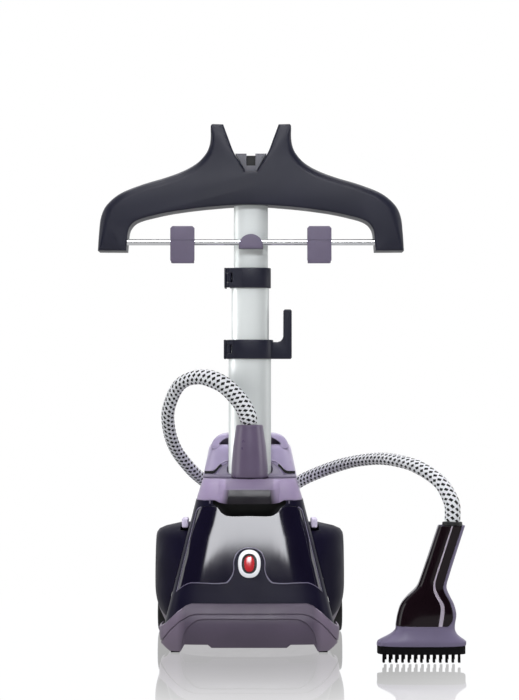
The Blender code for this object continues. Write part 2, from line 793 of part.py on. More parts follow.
def clamp_band(outer, tube, inner_tube, low, high, lean):
    """A band over a tube's end, with a lip that guides the next tube, and a forked lug for the lever."""
    lip = 1.7
    middle = (low + high) / 2
    lug = [(-12, LEVER_PIN[1] - LUG_RADIUS), (-12, LEVER_PIN[1] + LUG_RADIUS)]
    for step in range(9):
        angle = math.pi * (0.5 + step / 8)
        lug.append((LEVER_PIN[0] + LUG_RADIUS * math.cos(angle), LEVER_PIN[1] + LUG_RADIUS * math.sin(angle)))
    band = united(prism([oval(*outer)], low, high, "Z"), prism([lug], low + 2, high - 2, "Z"))
    guide = [(u + lean, v) for u, v in oval(inner_tube[0] + 1, inner_tube[1] + 1)]
    for tool in (
        prism([oval(tube[0] + 0.9, tube[1] + 0.9)], low - 5, high - lip, "Z"),
        prism([guide], low - 5, high + 5, "Z"),
        box((-40, -22, middle - 6.5), (-25.2, -4, middle + 6.5)),
        pin_hole(low, high),
    ):
        band = carve(band, tool)
    return band


def make_clamps():
    low, high = LOWER_CLAMP_Z
    hook = [
        (30.9, high - 3),
        (39.5, high - 3),
        (44.5, high - 0.5),
        (47.2, high + 5),
        (47.4, high + 41),
        (49.4, high + 43),
        (57.2, high + 43),
        (59.2, high + 41),
        (59.2, low + 1.5),
        (57.7, low),
        (30.9, low),
    ]
    lower_band = clamp_band((66.4, 40), LOWER_TUBE, MIDDLE_TUBE, low, high, MIDDLE_X)
    part("hook_clamp", united(lower_band, prism([hook], -9, 9)), "slate")
    low, high = UPPER_CLAMP_Z
    upper_band = clamp_band((58.4, 34), MIDDLE_TUBE, UPPER_TUBE, low, high, UPPER_X - MIDDLE_X)
    part("upper_clamp", upper_band, "slate", shift=MIDDLE_X)
    for name, (low, high), shift in (("lower", LOWER_CLAMP_Z, 0), ("upper", UPPER_CLAMP_Z, MIDDLE_X)):
        middle = (low + high) / 2
        plate = box((-36.6, -14, low), (-33.8, 17, high), 1.0, 1)
        knuckle = cylinder((*LEVER_PIN, middle - 6), (*LEVER_PIN, middle + 6), 3.4, 16)
        web = box((-35, -13, middle - 6), (-30, -10, middle + 6))
        lever = carve(united(plate, web, knuckle), pin_hole(low, high))
        part(f"{name}_clamp_lever", lever, "slate", (*LEVER_PIN, middle), shift)
        pin = cylinder((*LEVER_PIN, low + 2.5), (*LEVER_PIN, high - 2.5), LEVER_PIN_RADIUS, 12)
        part(f"{name}_lever_pin", pin, "steel", shift=shift)


# ---------------------------------------------------------------- hanger


HANGER_HALF = (
    (0, 657.5),
    (8.3, 657.5),
    (13.1, 665.8),
    (24.3, 685),
    (31.6, 704),
    (39, 724),
    (54.6, 724),
    (56.4, 721.5),
    (56.6, 706),
    (58.5, 694),
    (63.5, 683.4),
    (75.4, 670.6),
    (94.6, 659.4),
    (120.2, 649.8),
    (152.2, 640.2),
    (184.1, 627.4),
    (203.3, 611.4),
    (211.3, 595.4),
    (213.9, 573),
    (215, 545.9),
    (175, 545.9),
    (174, 557),
    (171.4, 576.3),
    (161.8, 587.4),
    (136.2, 595.4),
    (104.2, 601.8),
    (56.3, 607.6),
    (0, 611),
)


def inset(outline, by):
    """A clockwise outline with every side moved inwards."""
    moved = []
    for before, at, after in zip(outline[-1:] + outline[:-1], outline, outline[1:] + outline[:1]):
        into = (Vector(at) - Vector(before)).normalized()
        out = (Vector(after) - Vector(at)).normalized()
        normals = Vector((into.y, -into.x)), Vector((out.y, -out.x))
        shift = (normals[0] + normals[1]) * by / (1 + normals[0].dot(normals[1]))
        moved.append(tuple(Vector(at) + shift))
    return moved


def hanger_shell(side):
    """One half of the hanger: a flat face with a rounded rim, hollow behind and open under its arms."""
    outline = mirrored(HANGER_HALF)
    near, far = side * HANGER_SEAM, side * HANGER_DEPTH / 2
    bm = bmesh.new()
    face = bm.faces.new([bm.verts.new((u, near, v)) for u, v in outline])
    made = bmesh.ops.extrude_face_region(bm, geom=[face])
    moved = [item for item in made["geom"] if isinstance(item, bmesh.types.BMVert)]
    bmesh.ops.translate(bm, verts=moved, vec=(0, far - near, 0))
    rim = [edge for edge in bm.edges if all(abs(v.co.y - far) < 0.01 for v in edge.verts)]
    bmesh.ops.bevel(bm, geom=rim, offset=6.5, segments=2, profile=0.5, affect="EDGES")
    bmesh.ops.triangulate(bm, faces=bm.faces)
    shell = to_mesh(bm)
    low, high = sorted((-side * 5, far - side * HANGER_WALL))
    shell = carve(shell, prism([inset(outline, HANGER_WALL)], low, high))
    for end in (-1, 1):
        left, right = sorted((end * 178.5, end * 211.5))
        shell = carve(shell, box((left, low, 540), (right, high, 552)))
    return shell


def make_hanger():
    for name, side in (("hanger_front", -1), ("hanger_rear", 1)):
        shell = hanger_shell(side)
        shell = carve(shell, prism([oval(UPPER_TUBE[0] + 1, UPPER_TUBE[1] + 1)], 600, 625, "Z"))
        for end in (-1, 1):
            shell = carve(shell, cylinder((end * 165, *ROD_AT), (end * 185, *ROD_AT), ROD_RADIUS + 0.4, 16))
        part(name, shell, "slate", shift=UPPER_X)
    cradle = [(6.3, 684), (21.9, 684), (12.4, 667), (7.6, 658.1)]
    slot = [(-6.3, 667), (6.3, 667)]
    insert = prism([cradle + [(-u, v) for u, v in reversed(cradle)] + slot], -10, 10)
    part("cradle_insert", insert, "grey", shift=UPPER_X)
    rod = cylinder((-190, *ROD_AT), (190, *ROD_AT), ROD_RADIUS, 18)
    part("trouser_rod", rod, "chrome", shift=UPPER_X)
    dome = [(16.8, 548.5)]
    for step in range(13):
        angle = math.pi * step / 12
        dome.append((16.8 * math.cos(angle), 552.5 + 16.5 * math.sin(angle)))
    dome.append((-16.8, 548.5))
    cover = carve(prism([dome], -26, -10.9), rod_hole(0, 40))
    part("rod_centre_clip", carve(cover, box((-30, -12.6, 540), (30, 0, 562))), "mauve", shift=UPPER_X)


def rod_hole(x, reach):
    return cylinder((x - reach, *ROD_AT), (x + reach, *ROD_AT), ROD_RADIUS + 0.35, 18)


def make_garment_clips():
    """Each clip: a back plate with a sleeve on the rod, and a jaw that turns about the rod in front of it."""
    y, z = ROD_AT
    half, tall = CLIP_SIZE[0] / 2, CLIP_SIZE[1]
    low = 529.0
    high = low + tall
    for name, side in (("left", -1), ("right", 1)):
        x = side * CLIP_X
        plate = box((x - half, y + 6.5, low), (x + half, y + 9.3, high), 1.0, 1)
        sleeve = cylinder((x - 8, y, z), (x + 8, y, z), 6.4, 18)
        web = box((x - 8, y + 3, z - 4), (x + 8, y + 8, z + 4))
        lip = box((x - half + 1, y + 0.3, low + 1), (x + half - 1, y + 8, low + 5), 0.6, 1)
        back = carve(united(plate, web, sleeve, lip), rod_hole(x, 30))
        part(f"clip_back_{name}", back, "mauve", (x, y, z), UPPER_X)
        face = box((x - half, y - 10, low), (x + half, y - 7.2, high), 1.0, 1)
        grip = box((x - half + 1, y - 8, low + 1), (x + half - 1, y - 0.3, low + 5), 0.6, 1)
        ears = []
        for ear_x in (x - 12.3, x + 12.3):
            ears.append(box((ear_x - 3.4, y - 9, z - 4.5), (ear_x + 3.4, y - 2, z + 4.5)))
            ears.append(cylinder((ear_x - 3.4, y, z), (ear_x + 3.4, y, z), 6.1, 18))
        jaw = carve(united(face, grip, *ears), rod_hole(x, 30))
        part(f"clip_jaw_{name}", jaw, "mauve", (x, y, z), UPPER_X)


# ---------------------------------------------------------------- handset


HANDSET_ROWS = (
    (23.6, 163.9, 277.6, 22),
    (28.5, 165.2, 278.1, 23),
    (32.5, 172.5, 272.5, 22.3),
    (37, 181, 267.3, 21.2),
    (43, 187.6, 264, 20.3),
    (50, 188.3, 263.8, 20),
    (63, 190.6, 265.6, 19.4),
    (76, 195, 262.6, 18.4),
    (86, 202.8, 257.6, 17.4),
    (97, 214.2, 253.2, 16.6),
    (106, 218.9, 254.6, 16.2),
    (176.2, 242.7, 277.1, 15),
)


def handset_rows(inset=0.0):
    rows = []
    for z, left, right, half in HANDSET_ROWS:
        rows.append((z, left + inset, right - inset, HANDSET_Y - half + inset, HANDSET_Y + half - inset))
    return rows


def cover_outline(grow=0.0):
    g = grow
    return [
        (150, 49 - g),
        (254 + g, 49 - g),
        (259 + g, 56 - g),
        (259.5 + g, 66),
        (256 + g, 79),
        (249 + g, 92),
        (247.5 + g, 100),
        (274.5 + g, 184),
        (150, 184),
    ]


def cover_space(grow=0.0):
    """The space of the gloss cover, which reaches further back on the left than on the right."""
    front, seam = HANDSET_Y - 40, HANDSET_Y + grow
    left = [(150, 49 - grow), (222, 49 - grow), (222, 106), (262, 184), (150, 184)]
    return united(prism([cover_outline(grow)], front, seam - 3), prism([left], front, seam + 2.5))


def handset_wall():
    return carve(body(handset_rows(), 3.2), body(moved_ends(handset_rows(2.4), -5, 5), 3.2))


def plate_solid(low, high, half_x, half_y, power, count=RING):
    middle = 220.7
    y = HANDSET_Y
    rows = [(z, middle - half_x, middle + half_x, y - half_y, y + half_y) for z in (low, high)]
    return body(rows, power, count=count)


def make_handset():
    at = (221, HANDSET_Y, 0)
    part("handset_cover", common(handset_wall(), cover_space()), "gloss_dark", at)
    part("handset_shell", carve(handset_wall(), cover_space(GAP)), "lavender", at)
    plate = plate_solid(24, 28, 51.8, 17.4, 4)
    for hole in range(7):
        x = 180 + hole * 13.6
        plate = carve(plate, cylinder((x, HANDSET_Y, 10), (x, HANDSET_Y, 35), 2, 8))
    part("steam_plate", plate, "cast", at)
    frame = carve(plate_solid(13.6, 23.2, 56.5, 21.5, 4), plate_solid(10, 30, 44.5, 9, 5, 20))
    part("brush_frame", frame, "black", at)
    for name, y in (("bristles_front", HANDSET_Y - 14.5), ("bristles_rear", HANDSET_Y + 14.5)):
        part(name, prism([bristle_outline()], y - 2.2, y + 2.2), "black", at)
    centre = (FERRULE_X, HANDSET_Y, 0)
    collar = turned([(6, 176.6), (13.2, 176.6), (12.6, 180.6), (6, 180.6)], centre, steps=20)
    slant = Vector((-math.sin(HANDSET_TILT), 0, -math.cos(HANDSET_TILT)))
    root = Vector((FERRULE_X, HANDSET_Y, 178))
    bore = cylinder(root - slant * 6, root + slant * 30, 6, 12)
    throat = carve(cylinder(root, root + slant * 26, 8.5, 16), bore)
    part("hose_ferrule", united(collar, throat), "black", at)


def bristle_outline():
    """A comb: a spine with a row of tufts that reach the floor."""
    left, right, count = 169.0, 272.4, 14
    pitch = (right - left) / count
    points = [(left, 13.2)]
    for i in range(count):
        start = left + i * pitch
        for share, height in ((0, 10.5), (0.18, 0), (0.62, 0), (0.8, 10.5)):
            points.append((start + pitch * share, height))
    points.append((right, 10.5))
    points.append((right, 13.2))
    return points


def make_hose():
    points = smooth_route(HOSE_ROUTE, 22)
    curve = bpy.data.curves.new("hose", "CURVE")
    fill_pipe(curve, [point * MM for point in points], HOSE_DIAMETER / 2 * MM, 2)
    hose = bpy.data.objects.new("steam_hose", curve)
    PARTS.objects.link(hose)
    hose.parent = POLE
    curve.materials.append(finish_material("braid"))


# ---------------------------------------------------------------- the object


for old in list(bpy.data.objects):
    bpy.data.objects.remove(old, do_unlink=True)
PARTS = new_collection("garment_steamer")
POLE = bpy.data.objects.new("pole_axis", None)
PARTS.objects.link(POLE)
POLE.location = (POLE_AT[0] * MM, POLE_AT[1] * MM, 0)

make_tray()
make_screws()
make_rear_housing()
make_front_surround()
make_front_panel()
make_switch()
make_bumper()
make_cowl()
make_deck()
make_cuff()
make_body_clips()
make_wheels()
make_boiler()
make_water_path()
make_pole_socket()
make_cord_gland()
make_tank()
make_tank_valve()
make_tubes()
make_clamps()
make_hanger()
make_garment_clips()
make_handset()
make_hose()
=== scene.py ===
import math

import bmesh
import bpy
from mathutils import Matrix, Vector


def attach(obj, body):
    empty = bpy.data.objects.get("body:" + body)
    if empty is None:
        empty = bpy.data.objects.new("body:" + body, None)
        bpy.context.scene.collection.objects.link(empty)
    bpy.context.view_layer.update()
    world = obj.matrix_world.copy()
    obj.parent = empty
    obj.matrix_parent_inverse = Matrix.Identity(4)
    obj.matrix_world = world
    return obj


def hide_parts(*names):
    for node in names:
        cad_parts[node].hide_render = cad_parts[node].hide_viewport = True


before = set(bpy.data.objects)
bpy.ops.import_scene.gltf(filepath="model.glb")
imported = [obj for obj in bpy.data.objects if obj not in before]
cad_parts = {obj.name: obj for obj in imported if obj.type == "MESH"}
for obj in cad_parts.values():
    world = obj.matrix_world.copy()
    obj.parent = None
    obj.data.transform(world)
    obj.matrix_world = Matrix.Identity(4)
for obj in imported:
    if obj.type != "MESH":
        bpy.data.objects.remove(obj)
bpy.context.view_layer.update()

# Sizes are in millimetres from the pole's axis at floor level; TO_WORLD turns them into the frame's metres.
MM = 0.001
POLE_X, POLE_Y = -32.4, 42.0
TO_WORLD = Matrix.Scale(MM, 4) @ Matrix.Translation((POLE_X, POLE_Y, 0))
GAP = 0.4
SLOPE = 0.3125
TILT = math.atan(SLOPE)
FRONT_TOP = (199.0, -84.0)
SWITCH_Z = 115.7
CUFF_Y = -44.0
ROD_AT = (-14.9, 558.0)
HANDSET_Y = -224.0
MIDDLE_X = 0.7
UPPER_X = 1.6
TUBES = {
    "lower_tube": (60.0, 34.0, 1.6, 42.0, 419.0, 0.0, "base"),
    "middle_tube": (53.0, 27.0, 1.5, 60.0, 519.0, MIDDLE_X, "middle_section"),
    "upper_tube": (48.0, 20.0, 1.4, 80.0, 640.0, UPPER_X, "upper_section"),
}
LUG_RADIUS = 3.6
TANK_RECESS_Y = 26.0
LEVER_PIN = (-29.6, -12.5)
PHOTO = (519, 700)

HOSE_ROUTE = (
    (0, -44, 302.4),
    (-3.5, -44, 316.5),
    (-14, -43, 335.5),
    (-38.5, -39, 359),
    (-69.5, -27, 368.4),
    (-98.4, -8, 358),
    (-115.2, 15, 324.5),
    (-116, 41, 294),
    (-107.8, 70, 265),
    (-90.3, 100, 238.3),
    (-73, 137, 219),
    (-42, 149, 197),
    (0, 151, 188),
    (40, 151, 194),
    (77, 141, 216.5),
    (99.3, 118, 228),
    (119.2, 88, 237.3),
    (139.2, 48, 245.5),
    (157.8, 0, 251.4),
    (179.8, -62, 255.7),
    (201, -122, 254.8),
    (224.6, -172, 247.3),
    (247.6, -206, 230),
    (259.9, -221, 207.2),
    (261.6, -224, 192),
    (261.0, -224, 181.6),
)
HOSE_RADII = (
    (0, 10.5),
    (0.6, 12.2),
    (3.4, 12.0),
    (4.1, 10.3),
    (4.6, 9.2),
    (16.5, 8.9),
    (17.5, 8.4),
    (20.5, 8.4),
    (21, 9.0),
    (22, 9.0),
    (23, 10.0),
    (25, 10.0),
)


# ---------------------------------------------------------------- shapes


def new_mesh(bm):
    bmesh.ops.recalc_face_normals(bm, faces=bm.faces)
    mesh = bpy.data.meshes.new("shape")
    bm.to_mesh(mesh)
    bm.free()
    return mesh


def evaluated(data, modify=None):
    helper = bpy.data.objects.new("helper", data)
    bpy.context.scene.collection.objects.link(helper)
    if modify:
        modify(helper)
    graph = bpy.context.evaluated_depsgraph_get()
    mesh = bpy.data.meshes.new_from_object(helper.evaluated_get(graph))
    bpy.data.objects.remove(helper, do_unlink=True)
    bm = bmesh.new()
    bm.from_mesh(mesh)
    bmesh.ops.remove_doubles(bm, verts=bm.verts, dist=0.0001)
    return new_mesh(bm)


def carve(mesh, tool, operation="DIFFERENCE"):
    pair = [bpy.data.objects.new("carved", mesh), bpy.data.objects.new("tool", tool)]
    for obj in pair:
        bpy.context.scene.collection.objects.link(obj)
    modifier = pair[0].modifiers.new("Boolean", "BOOLEAN")
    modifier.operation = operation
    modifier.object = pair[1]
    modifier.solver = "MANIFOLD"
    graph = bpy.context.evaluated_depsgraph_get()
    made = bpy.data.meshes.new_from_object(pair[0].evaluated_get(graph))
    for obj in pair:
        bpy.data.objects.remove(obj, do_unlink=True)
    return made


def united(first, *others):
    for other in others:
        first = carve(first, other, "UNION")
    return first


def common(first, second):
    return carve(first, second, "INTERSECT")


def spline_at(knots, count):
    """Rows of numbers read at even steps of a smooth curve through the knots, whose first number is the station."""
    out = []
    for i, (a, b) in enumerate(zip(knots, knots[1:])):
        before = knots[i - 1] if i else a
        after = knots[i + 2] if i + 2 < len(knots) else b
        span = b[0] - a[0]
        steps = max(1, round(span / count))
        for step in range(steps):
            t = step / steps
            row = [a[0] + span * t]
            for k in range(1, len(a)):
                m0 = (b[k] - before[k]) / max(b[0] - before[0], 1e-6) * span
                m1 = (after[k] - a[k]) / max(after[0] - a[0], 1e-6) * span
                h = t * t * (3 - 2 * t)
                row.append(a[k] * (1 - h) + b[k] * h + m0 * t * (1 - t) ** 2 - m1 * t * t * (1 - t))
            out.append(row)
    out.append(list(knots[-1]))
    return out


def section(z, left, right, front, back, power, count=96):
    middle_x, middle_y = (left + right) / 2, (front + back) / 2
    half_x, half_y = (right - left) / 2, (back - front) / 2
    points = []
    for i in range(count):
        angle = 2 * math.pi * i / count
        c, s = math.cos(angle), math.sin(angle)
        x = math.copysign(abs(c) ** (2 / power), c)
        y = math.copysign(abs(s) ** (2 / power), s)
        points.append((middle_x + half_x * x, middle_y + half_y * y, z))
    return points


def loft(rings):
    bm = bmesh.new()
    loops = [[bm.verts.new(point) for point in ring] for ring in rings]
    count = len(rings[0])
    for low, high in zip(loops, loops[1:]):
        for i in range(count):
            j = (i + 1) % count
            bm.faces.new((low[i], low[j], high[j], high[i]))
    bm.faces.new(loops[0][::-1])
    bm.faces.new(loops[-1])
    return new_mesh(bm)


def body(rows, power, grow=0.0, smooth=6.0):
    rows = spline_at(rows, smooth) if smooth else rows
    return loft([section(z, a - grow, b + grow, c - grow, d + grow, power) for z, a, b, c, d in rows])


def symmetric(rows):
    return [(z, -half, half, front, back) for z, half, front, back in rows]


def shrunk(rows, by):
    return [(z, a + by, b - by, c + by, d - by) for z, a, b, c, d in rows]


def moved_ends(rows, bottom=0.0, top=0.0):
    rows = [list(row) for row in rows]
    rows[0][0] += bottom
    rows[-1][0] += top
    return rows


AXES = {
    "X": Matrix(((0, 0, 1, 0), (1, 0, 0, 0), (0, 1, 0, 0), (0, 0, 0, 1))),
    "Y": Matrix(((1, 0, 0, 0), (0, 0, -1, 0), (0, 1, 0, 0), (0, 0, 0, 1))),
    "Z": Matrix.Identity(4),
}
ALONG = {"X": Vector((1, 0, 0)), "Y": Vector((0, 1, 0)), "Z": Vector((0, 0, 1))}


def prism(outlines, low, high, axis="Y", bevel=0.0):
    """Flat outlines, the first the outer one and the rest holes, extruded along an axis."""
    curve = bpy.data.curves.new("outline", "CURVE")
    curve.dimensions = "2D"
    curve.fill_mode = "BOTH"
    curve.extrude = (high - low) / 2 - bevel
    curve.bevel_depth = bevel
    curve.bevel_resolution = 2
    curve.offset = -bevel
    for outline in outlines:
        spline = curve.splines.new("POLY")
        spline.points.add(len(outline) - 1)
        for point, (u, v) in zip(spline.points, outline):
            point.co = (u, v, 0, 1)
        spline.use_cyclic_u = True
    mesh = evaluated(curve)
    mesh.transform(Matrix.Translation(ALONG[axis] * (low + high) / 2) @ AXES[axis])
    return mesh


def mirrored(half):
    return list(half) + [(-u, v) for u, v in reversed(half) if u > 0]


def rounded(outline, corner=40, steps=5):
    """The outline as a smooth curve through its points, with every turn sharper than the corner angle kept."""
    count = len(outline)
    points = [Vector(p) for p in outline]
    sharp = []
    for i in range(count):
        a = (points[i] - points[i - 1]).normalized()
        b = (points[(i + 1) % count] - points[i]).normalized()
        sharp.append(math.degrees(a.angle(b)) > corner)
    out = []
    for i in range(count):
        a, b = points[i], points[(i + 1) % count]
        before = (a - points[i - 1]).length
        m0 = (b - a) if sharp[i] else (b - points[i - 1]) * (b - a).length / max((b - a).length + before, 1e-6)
        after = points[(i + 2) % count]
        j = (i + 1) % count
        m1 = (b - a) if sharp[j] else (after - a) * (b - a).length / max((b - a).length + (after - b).length, 1e-6)
        for step in range(steps):
            t = step / steps
            h = t * t * (3 - 2 * t)
            out.append(tuple(a * (1 - h) + b * h + m0 * t * (1 - t) ** 2 - m1 * t * t * (1 - t)))
    return out


def inset(outline, by):
    """A clockwise outline moved inwards, by one distance or by one for each point."""
    count = len(outline)
    by = [by] * count if isinstance(by, (int, float)) else by
    moved = []
    for i in range(count):
        before, at, after = (Vector(outline[(i + k) % count]) for k in (-1, 0, 1))
        into, out = (at - before).normalized(), (after - at).normalized()
        n0, n1 = Vector((into.y, -into.x)), Vector((out.y, -out.x))
        moved.append(tuple(at + (n0 + n1) * by[i] / max(1 + n0.dot(n1), 0.3)))
    return moved


def oval(width, depth, count=72, power=2.35):
    return [(x, y) for x, y, _ in section(0, -width / 2, width / 2, -depth / 2, depth / 2, power, count)]


def box(low, high, bevel=0.0, segments=3):
    bm = bmesh.new()
    bmesh.ops.create_cube(bm, size=1.0)
    size = Vector(high) - Vector(low)
    middle = (Vector(high) + Vector(low)) / 2
    bmesh.ops.transform(bm, matrix=Matrix.Translation(middle) @ Matrix.Diagonal((*size, 1)), verts=bm.verts)
    if bevel:
        bmesh.ops.bevel(bm, geom=bm.edges, offset=bevel, segments=segments, profile=0.5, affect="EDGES")
    return new_mesh(bm)


def cylinder(start, end, radius, sides=48, end_radius=None):
    bm = bmesh.new()
    start, end = Vector(start), Vector(end)
    top = radius if end_radius is None else end_radius
    bmesh.ops.create_cone(bm, cap_ends=True, segments=sides, radius1=radius, radius2=top, depth=(end - start).length)
    turn = (end - start).to_track_quat("Z", "Y").to_matrix().to_4x4()
    bmesh.ops.transform(bm, matrix=Matrix.Translation((start + end) / 2) @ turn, verts=bm.verts)
    return new_mesh(bm)


def turned(profile, centre, axis="Z", steps=72):
    """A closed profile of radius and height, turned around an axis."""
    mesh = bpy.data.meshes.new("profile")
    count = len(profile)
    edges = [(i, (i + 1) % count) for i in range(count)]
    mesh.from_pydata([(radius, 0, height) for radius, height in profile], edges, [])

    def screw(helper):
        modifier = helper.modifiers.new("Screw", "SCREW")
        modifier.steps = steps
        modifier.render_steps = steps
        modifier.use_merge_vertices = True
        modifier.merge_threshold = 0.0001

    made = evaluated(mesh, screw)
    made.transform(Matrix.Translation(centre) @ AXES[axis])
    return made


def route_points(route, spacing):
    """Even steps along a smooth curve through the route's points, each with its place among those points."""
    ends = [2 * Vector(route[0]) - Vector(route[1]), 2 * Vector(route[-1]) - Vector(route[-2])]
    knots = [ends[0], *map(Vector, route), ends[1]]
    fine = []
    for before, a, b, after in zip(knots, knots[1:], knots[2:], knots[3:]):
        for step in range(20):
            t = step / 20
            turn = (b - before) * (t - 2 * t**2 + t**3) + (after - a) * (t**3 - t**2)
            fine.append(a * (1 - 3 * t**2 + 2 * t**3) + b * (3 * t**2 - 2 * t**3) + turn / 2)
    fine.append(knots[-2])
    lengths = [0.0]
    for a, b in zip(fine, fine[1:]):
        lengths.append(lengths[-1] + (b - a).length)
    count = round(lengths[-1] / spacing)
    points, places, at = [], [], 0
    for i in range(count + 1):
        want = lengths[-1] * i / count
        while at < len(lengths) - 2 and lengths[at + 1] < want:
            at += 1
        share = (want - lengths[at]) / (lengths[at + 1] - lengths[at])
        points.append(fine[at].lerp(fine[at + 1], share))
        places.append((at + share) / 20)
    return points, places, lengths[-1]


def between(rows, at):
    """A number read from rows of place and number."""
    for (a, first), (b, second) in zip(rows, rows[1:]):
        if at <= b:
            share = min(max((at - a) / (b - a), 0), 1)
            return first + (second - first) * share * share * (3 - 2 * share)
    return rows[-1][1]


# ---------------------------------------------------------------- materials


def linear(r, g, b):
    def one(c):
        c /= 255
        return c / 12.92 if c <= 0.04045 else ((c + 0.055) / 1.055) ** 2.4

    return (one(r), one(g), one(b), 1.0)


class Shader:
    """A Principled material with short ways to add nodes."""

    def __init__(self, name):
        self.material = bpy.data.materials.new(name)
        self.material.use_nodes = True
        self.tree = self.material.node_tree
        self.out = self.tree.nodes["Principled BSDF"]

    @classmethod
    def over(cls, holder):
        """The same short ways, on a material or a light that has its nodes already."""
        shader = cls.__new__(cls)
        shader.material, shader.tree = holder, holder.node_tree
        shader.out = shader.tree.nodes.get("Principled BSDF")
        return shader

    def node(self, kind, **settings):
        made = self.tree.nodes.new(kind)
        for key, value in settings.items():
            if key in made.inputs:
                made.inputs[key].default_value = value
            else:
                setattr(made, key, value)
        return made

    def link(self, source, target):
        self.tree.links.new(source, target)

    def object_coordinates(self, scale=(1, 1, 1)):
        place = self.node("ShaderNodeTexCoord")
        mapping = self.node("ShaderNodeMapping")
        mapping.inputs["Scale"].default_value = scale
        self.link(place.outputs["Object"], mapping.inputs["Vector"])
        return mapping.outputs["Vector"]

    def place(self, kind="ShaderNodeTexCoord", output="Object"):
        """X, Y and Z of a point, each as its own output."""
        split = self.node("ShaderNodeSeparateXYZ")
        self.link(self.node(kind).outputs[output], split.inputs[0])
        return split.outputs

    def noise(self, scale, detail=3.0, roughness=0.5, stretch=(1, 1, 1)):
        made = self.node("ShaderNodeTexNoise")
        made.inputs["Scale"].default_value = scale
        made.inputs["Detail"].default_value = detail
        made.inputs["Roughness"].default_value = roughness
        self.link(self.object_coordinates(stretch), made.inputs["Vector"])
        return made.outputs["Fac"]

    def spread(self, source, low, high, near=0.3, far=0.7):
        made = self.node("ShaderNodeMapRange")
        for key, value in (("From Min", near), ("From Max", far), ("To Min", low), ("To Max", high)):
            made.inputs[key].default_value = value
        self.link(source, made.inputs["Value"])
        return made.outputs["Result"]

    def mixed(self, share, first, second):
        made = self.node("ShaderNodeMix", data_type="RGBA")
        for socket, value in ((made.inputs[0], share), (made.inputs[6], first), (made.inputs[7], second)):
            if isinstance(value, (int, float, tuple)):
                socket.default_value = value
            else:
                self.link(value, socket)
        return made.outputs[2]

    def math(self, operation, first, second=None, third=None):
        made = self.node("ShaderNodeMath", operation=operation)
        for socket, value in zip(made.inputs, (first, second, third)):
            if value is None:
                continue
            if isinstance(value, (int, float)):
                socket.default_value = value
            else:
                self.link(value, socket)
        return made.outputs[0]

    def bump(self, height, strength, distance, edge=0.0):
        made = self.node("ShaderNodeBump")
        made.inputs["Strength"].default_value = strength
        made.inputs["Distance"].default_value = distance
        self.link(height, made.inputs["Height"])
        if edge:
            bevel = self.node("ShaderNodeBevel", samples=6)
            bevel.inputs["Radius"].default_value = edge
            self.link(bevel.outputs["Normal"], made.inputs["Normal"])
        self.link(made.outputs["Normal"], self.out.inputs["Normal"])
        return made


def plastic(name, colour, rough, grain=900.0, bump=0.05, edge=0.0007, coat=0.0, specular=0.5, vary=0.12):
    """Moulded plastic: a fine spark-eroded grain, handling marks in the gloss and slightly uneven colour."""
    shader = Shader(name)
    base = linear(*colour)
    darker = tuple(c * (1 - vary) for c in base[:3]) + (1.0,)
    paler = tuple(min(c * (1 + vary) + 0.001, 1) for c in base[:3]) + (1.0,)
    clouds = shader.noise(14.0, 4.0)
    shader.link(shader.mixed(shader.spread(clouds, 0, 1), darker, paler), shader.out.inputs["Base Color"])
    wear = shader.noise(55.0, 5.0, 0.6, (1, 1, 0.6))
    shader.link(shader.spread(wear, rough * 0.86, rough * 1.16), shader.out.inputs["Roughness"])
    shader.out.inputs["Specular IOR Level"].default_value = specular
    shader.out.inputs["Coat Weight"].default_value = coat
    shader.out.inputs["Coat Roughness"].default_value = 0.06
    shader.bump(shader.noise(grain, 2.0), bump, 0.0002, edge)
    return shader.material


def metal(name, colour, rough, stretch, bump=0.05, edge=0.0003, metallic=1.0, fade=0.88):
    """Bare metal with drawing or grinding lines along one direction."""
    shader = Shader(name)
    base = linear(*colour)
    dull = tuple(c * fade for c in base[:3]) + (1.0,)
    lines = shader.noise(260.0, 4.0, 0.6, stretch)
    shader.link(shader.mixed(shader.spread(lines, 0, 1), dull, base), shader.out.inputs["Base Color"])
    shader.link(shader.spread(lines, rough * 0.8, rough * 1.25), shader.out.inputs["Roughness"])
    shader.out.inputs["Metallic"].default_value = metallic
    shader.bump(lines, bump, 0.0001, edge)
    return shader.material


def braid():
    """Woven sleeve read from the hose's own map: u runs round it, v along it, both in strands."""
    shader = Shader("braid")
    place = shader.node("ShaderNodeUVMap", uv_map="UVMap")
    split = shader.node("ShaderNodeSeparateXYZ")
    shader.link(place.outputs["UV"], split.inputs[0])
    u, v = split.outputs["X"], split.outputs["Y"]
    column = shader.math("FLOOR", u)
    shift = shader.math("MULTIPLY", column, 0.5)
    across = shader.math("SUBTRACT", shader.math("FRACT", u), 0.5)
    slanted = shader.math("ADD", shader.math("ADD", v, shift), shader.math("MULTIPLY", across, 0.25))
    along = shader.math("SUBTRACT", shader.math("FRACT", slanted), 0.5)
    longer = shader.math("MULTIPLY", shader.math("ABSOLUTE", along), 1.5)
    reach = shader.math("ADD", shader.math("ABSOLUTE", across), longer)
    hole = shader.spread(reach, 1.0, 0.0, 0.48, 0.54)
    threads = [shader.math("MULTIPLY", u, 5.0), shader.math("MULTIPLY", v, 6.0)]
    lines = shader.math("SINE", shader.math("MULTIPLY", shader.math("ADD", *threads), 6.2832))
    cross = shader.math("SINE", shader.math("MULTIPLY", shader.math("SUBTRACT", *threads), 6.2832))
    weave = shader.math("MULTIPLY", lines, cross)
    # The weave's pattern is the sleeve's own; the grey in the dips between the strands is painted shade.
    tone = shader.mixed(shader.spread(weave, 0, 1, -0.9, 0.9), linear(208, 210, 214), linear(250, 250, 252))
    shader.link(shader.mixed(hole, tone, linear(9, 8, 10)), shader.out.inputs["Base Color"])
    shader.link(shader.spread(hole, 0.42, 0.8, 0, 1), shader.out.inputs["Roughness"])
    height = shader.math("SUBTRACT", shader.math("MULTIPLY", weave, 0.25), hole)
    shader.bump(height, 0.7, 0.0006)
    return shader.material


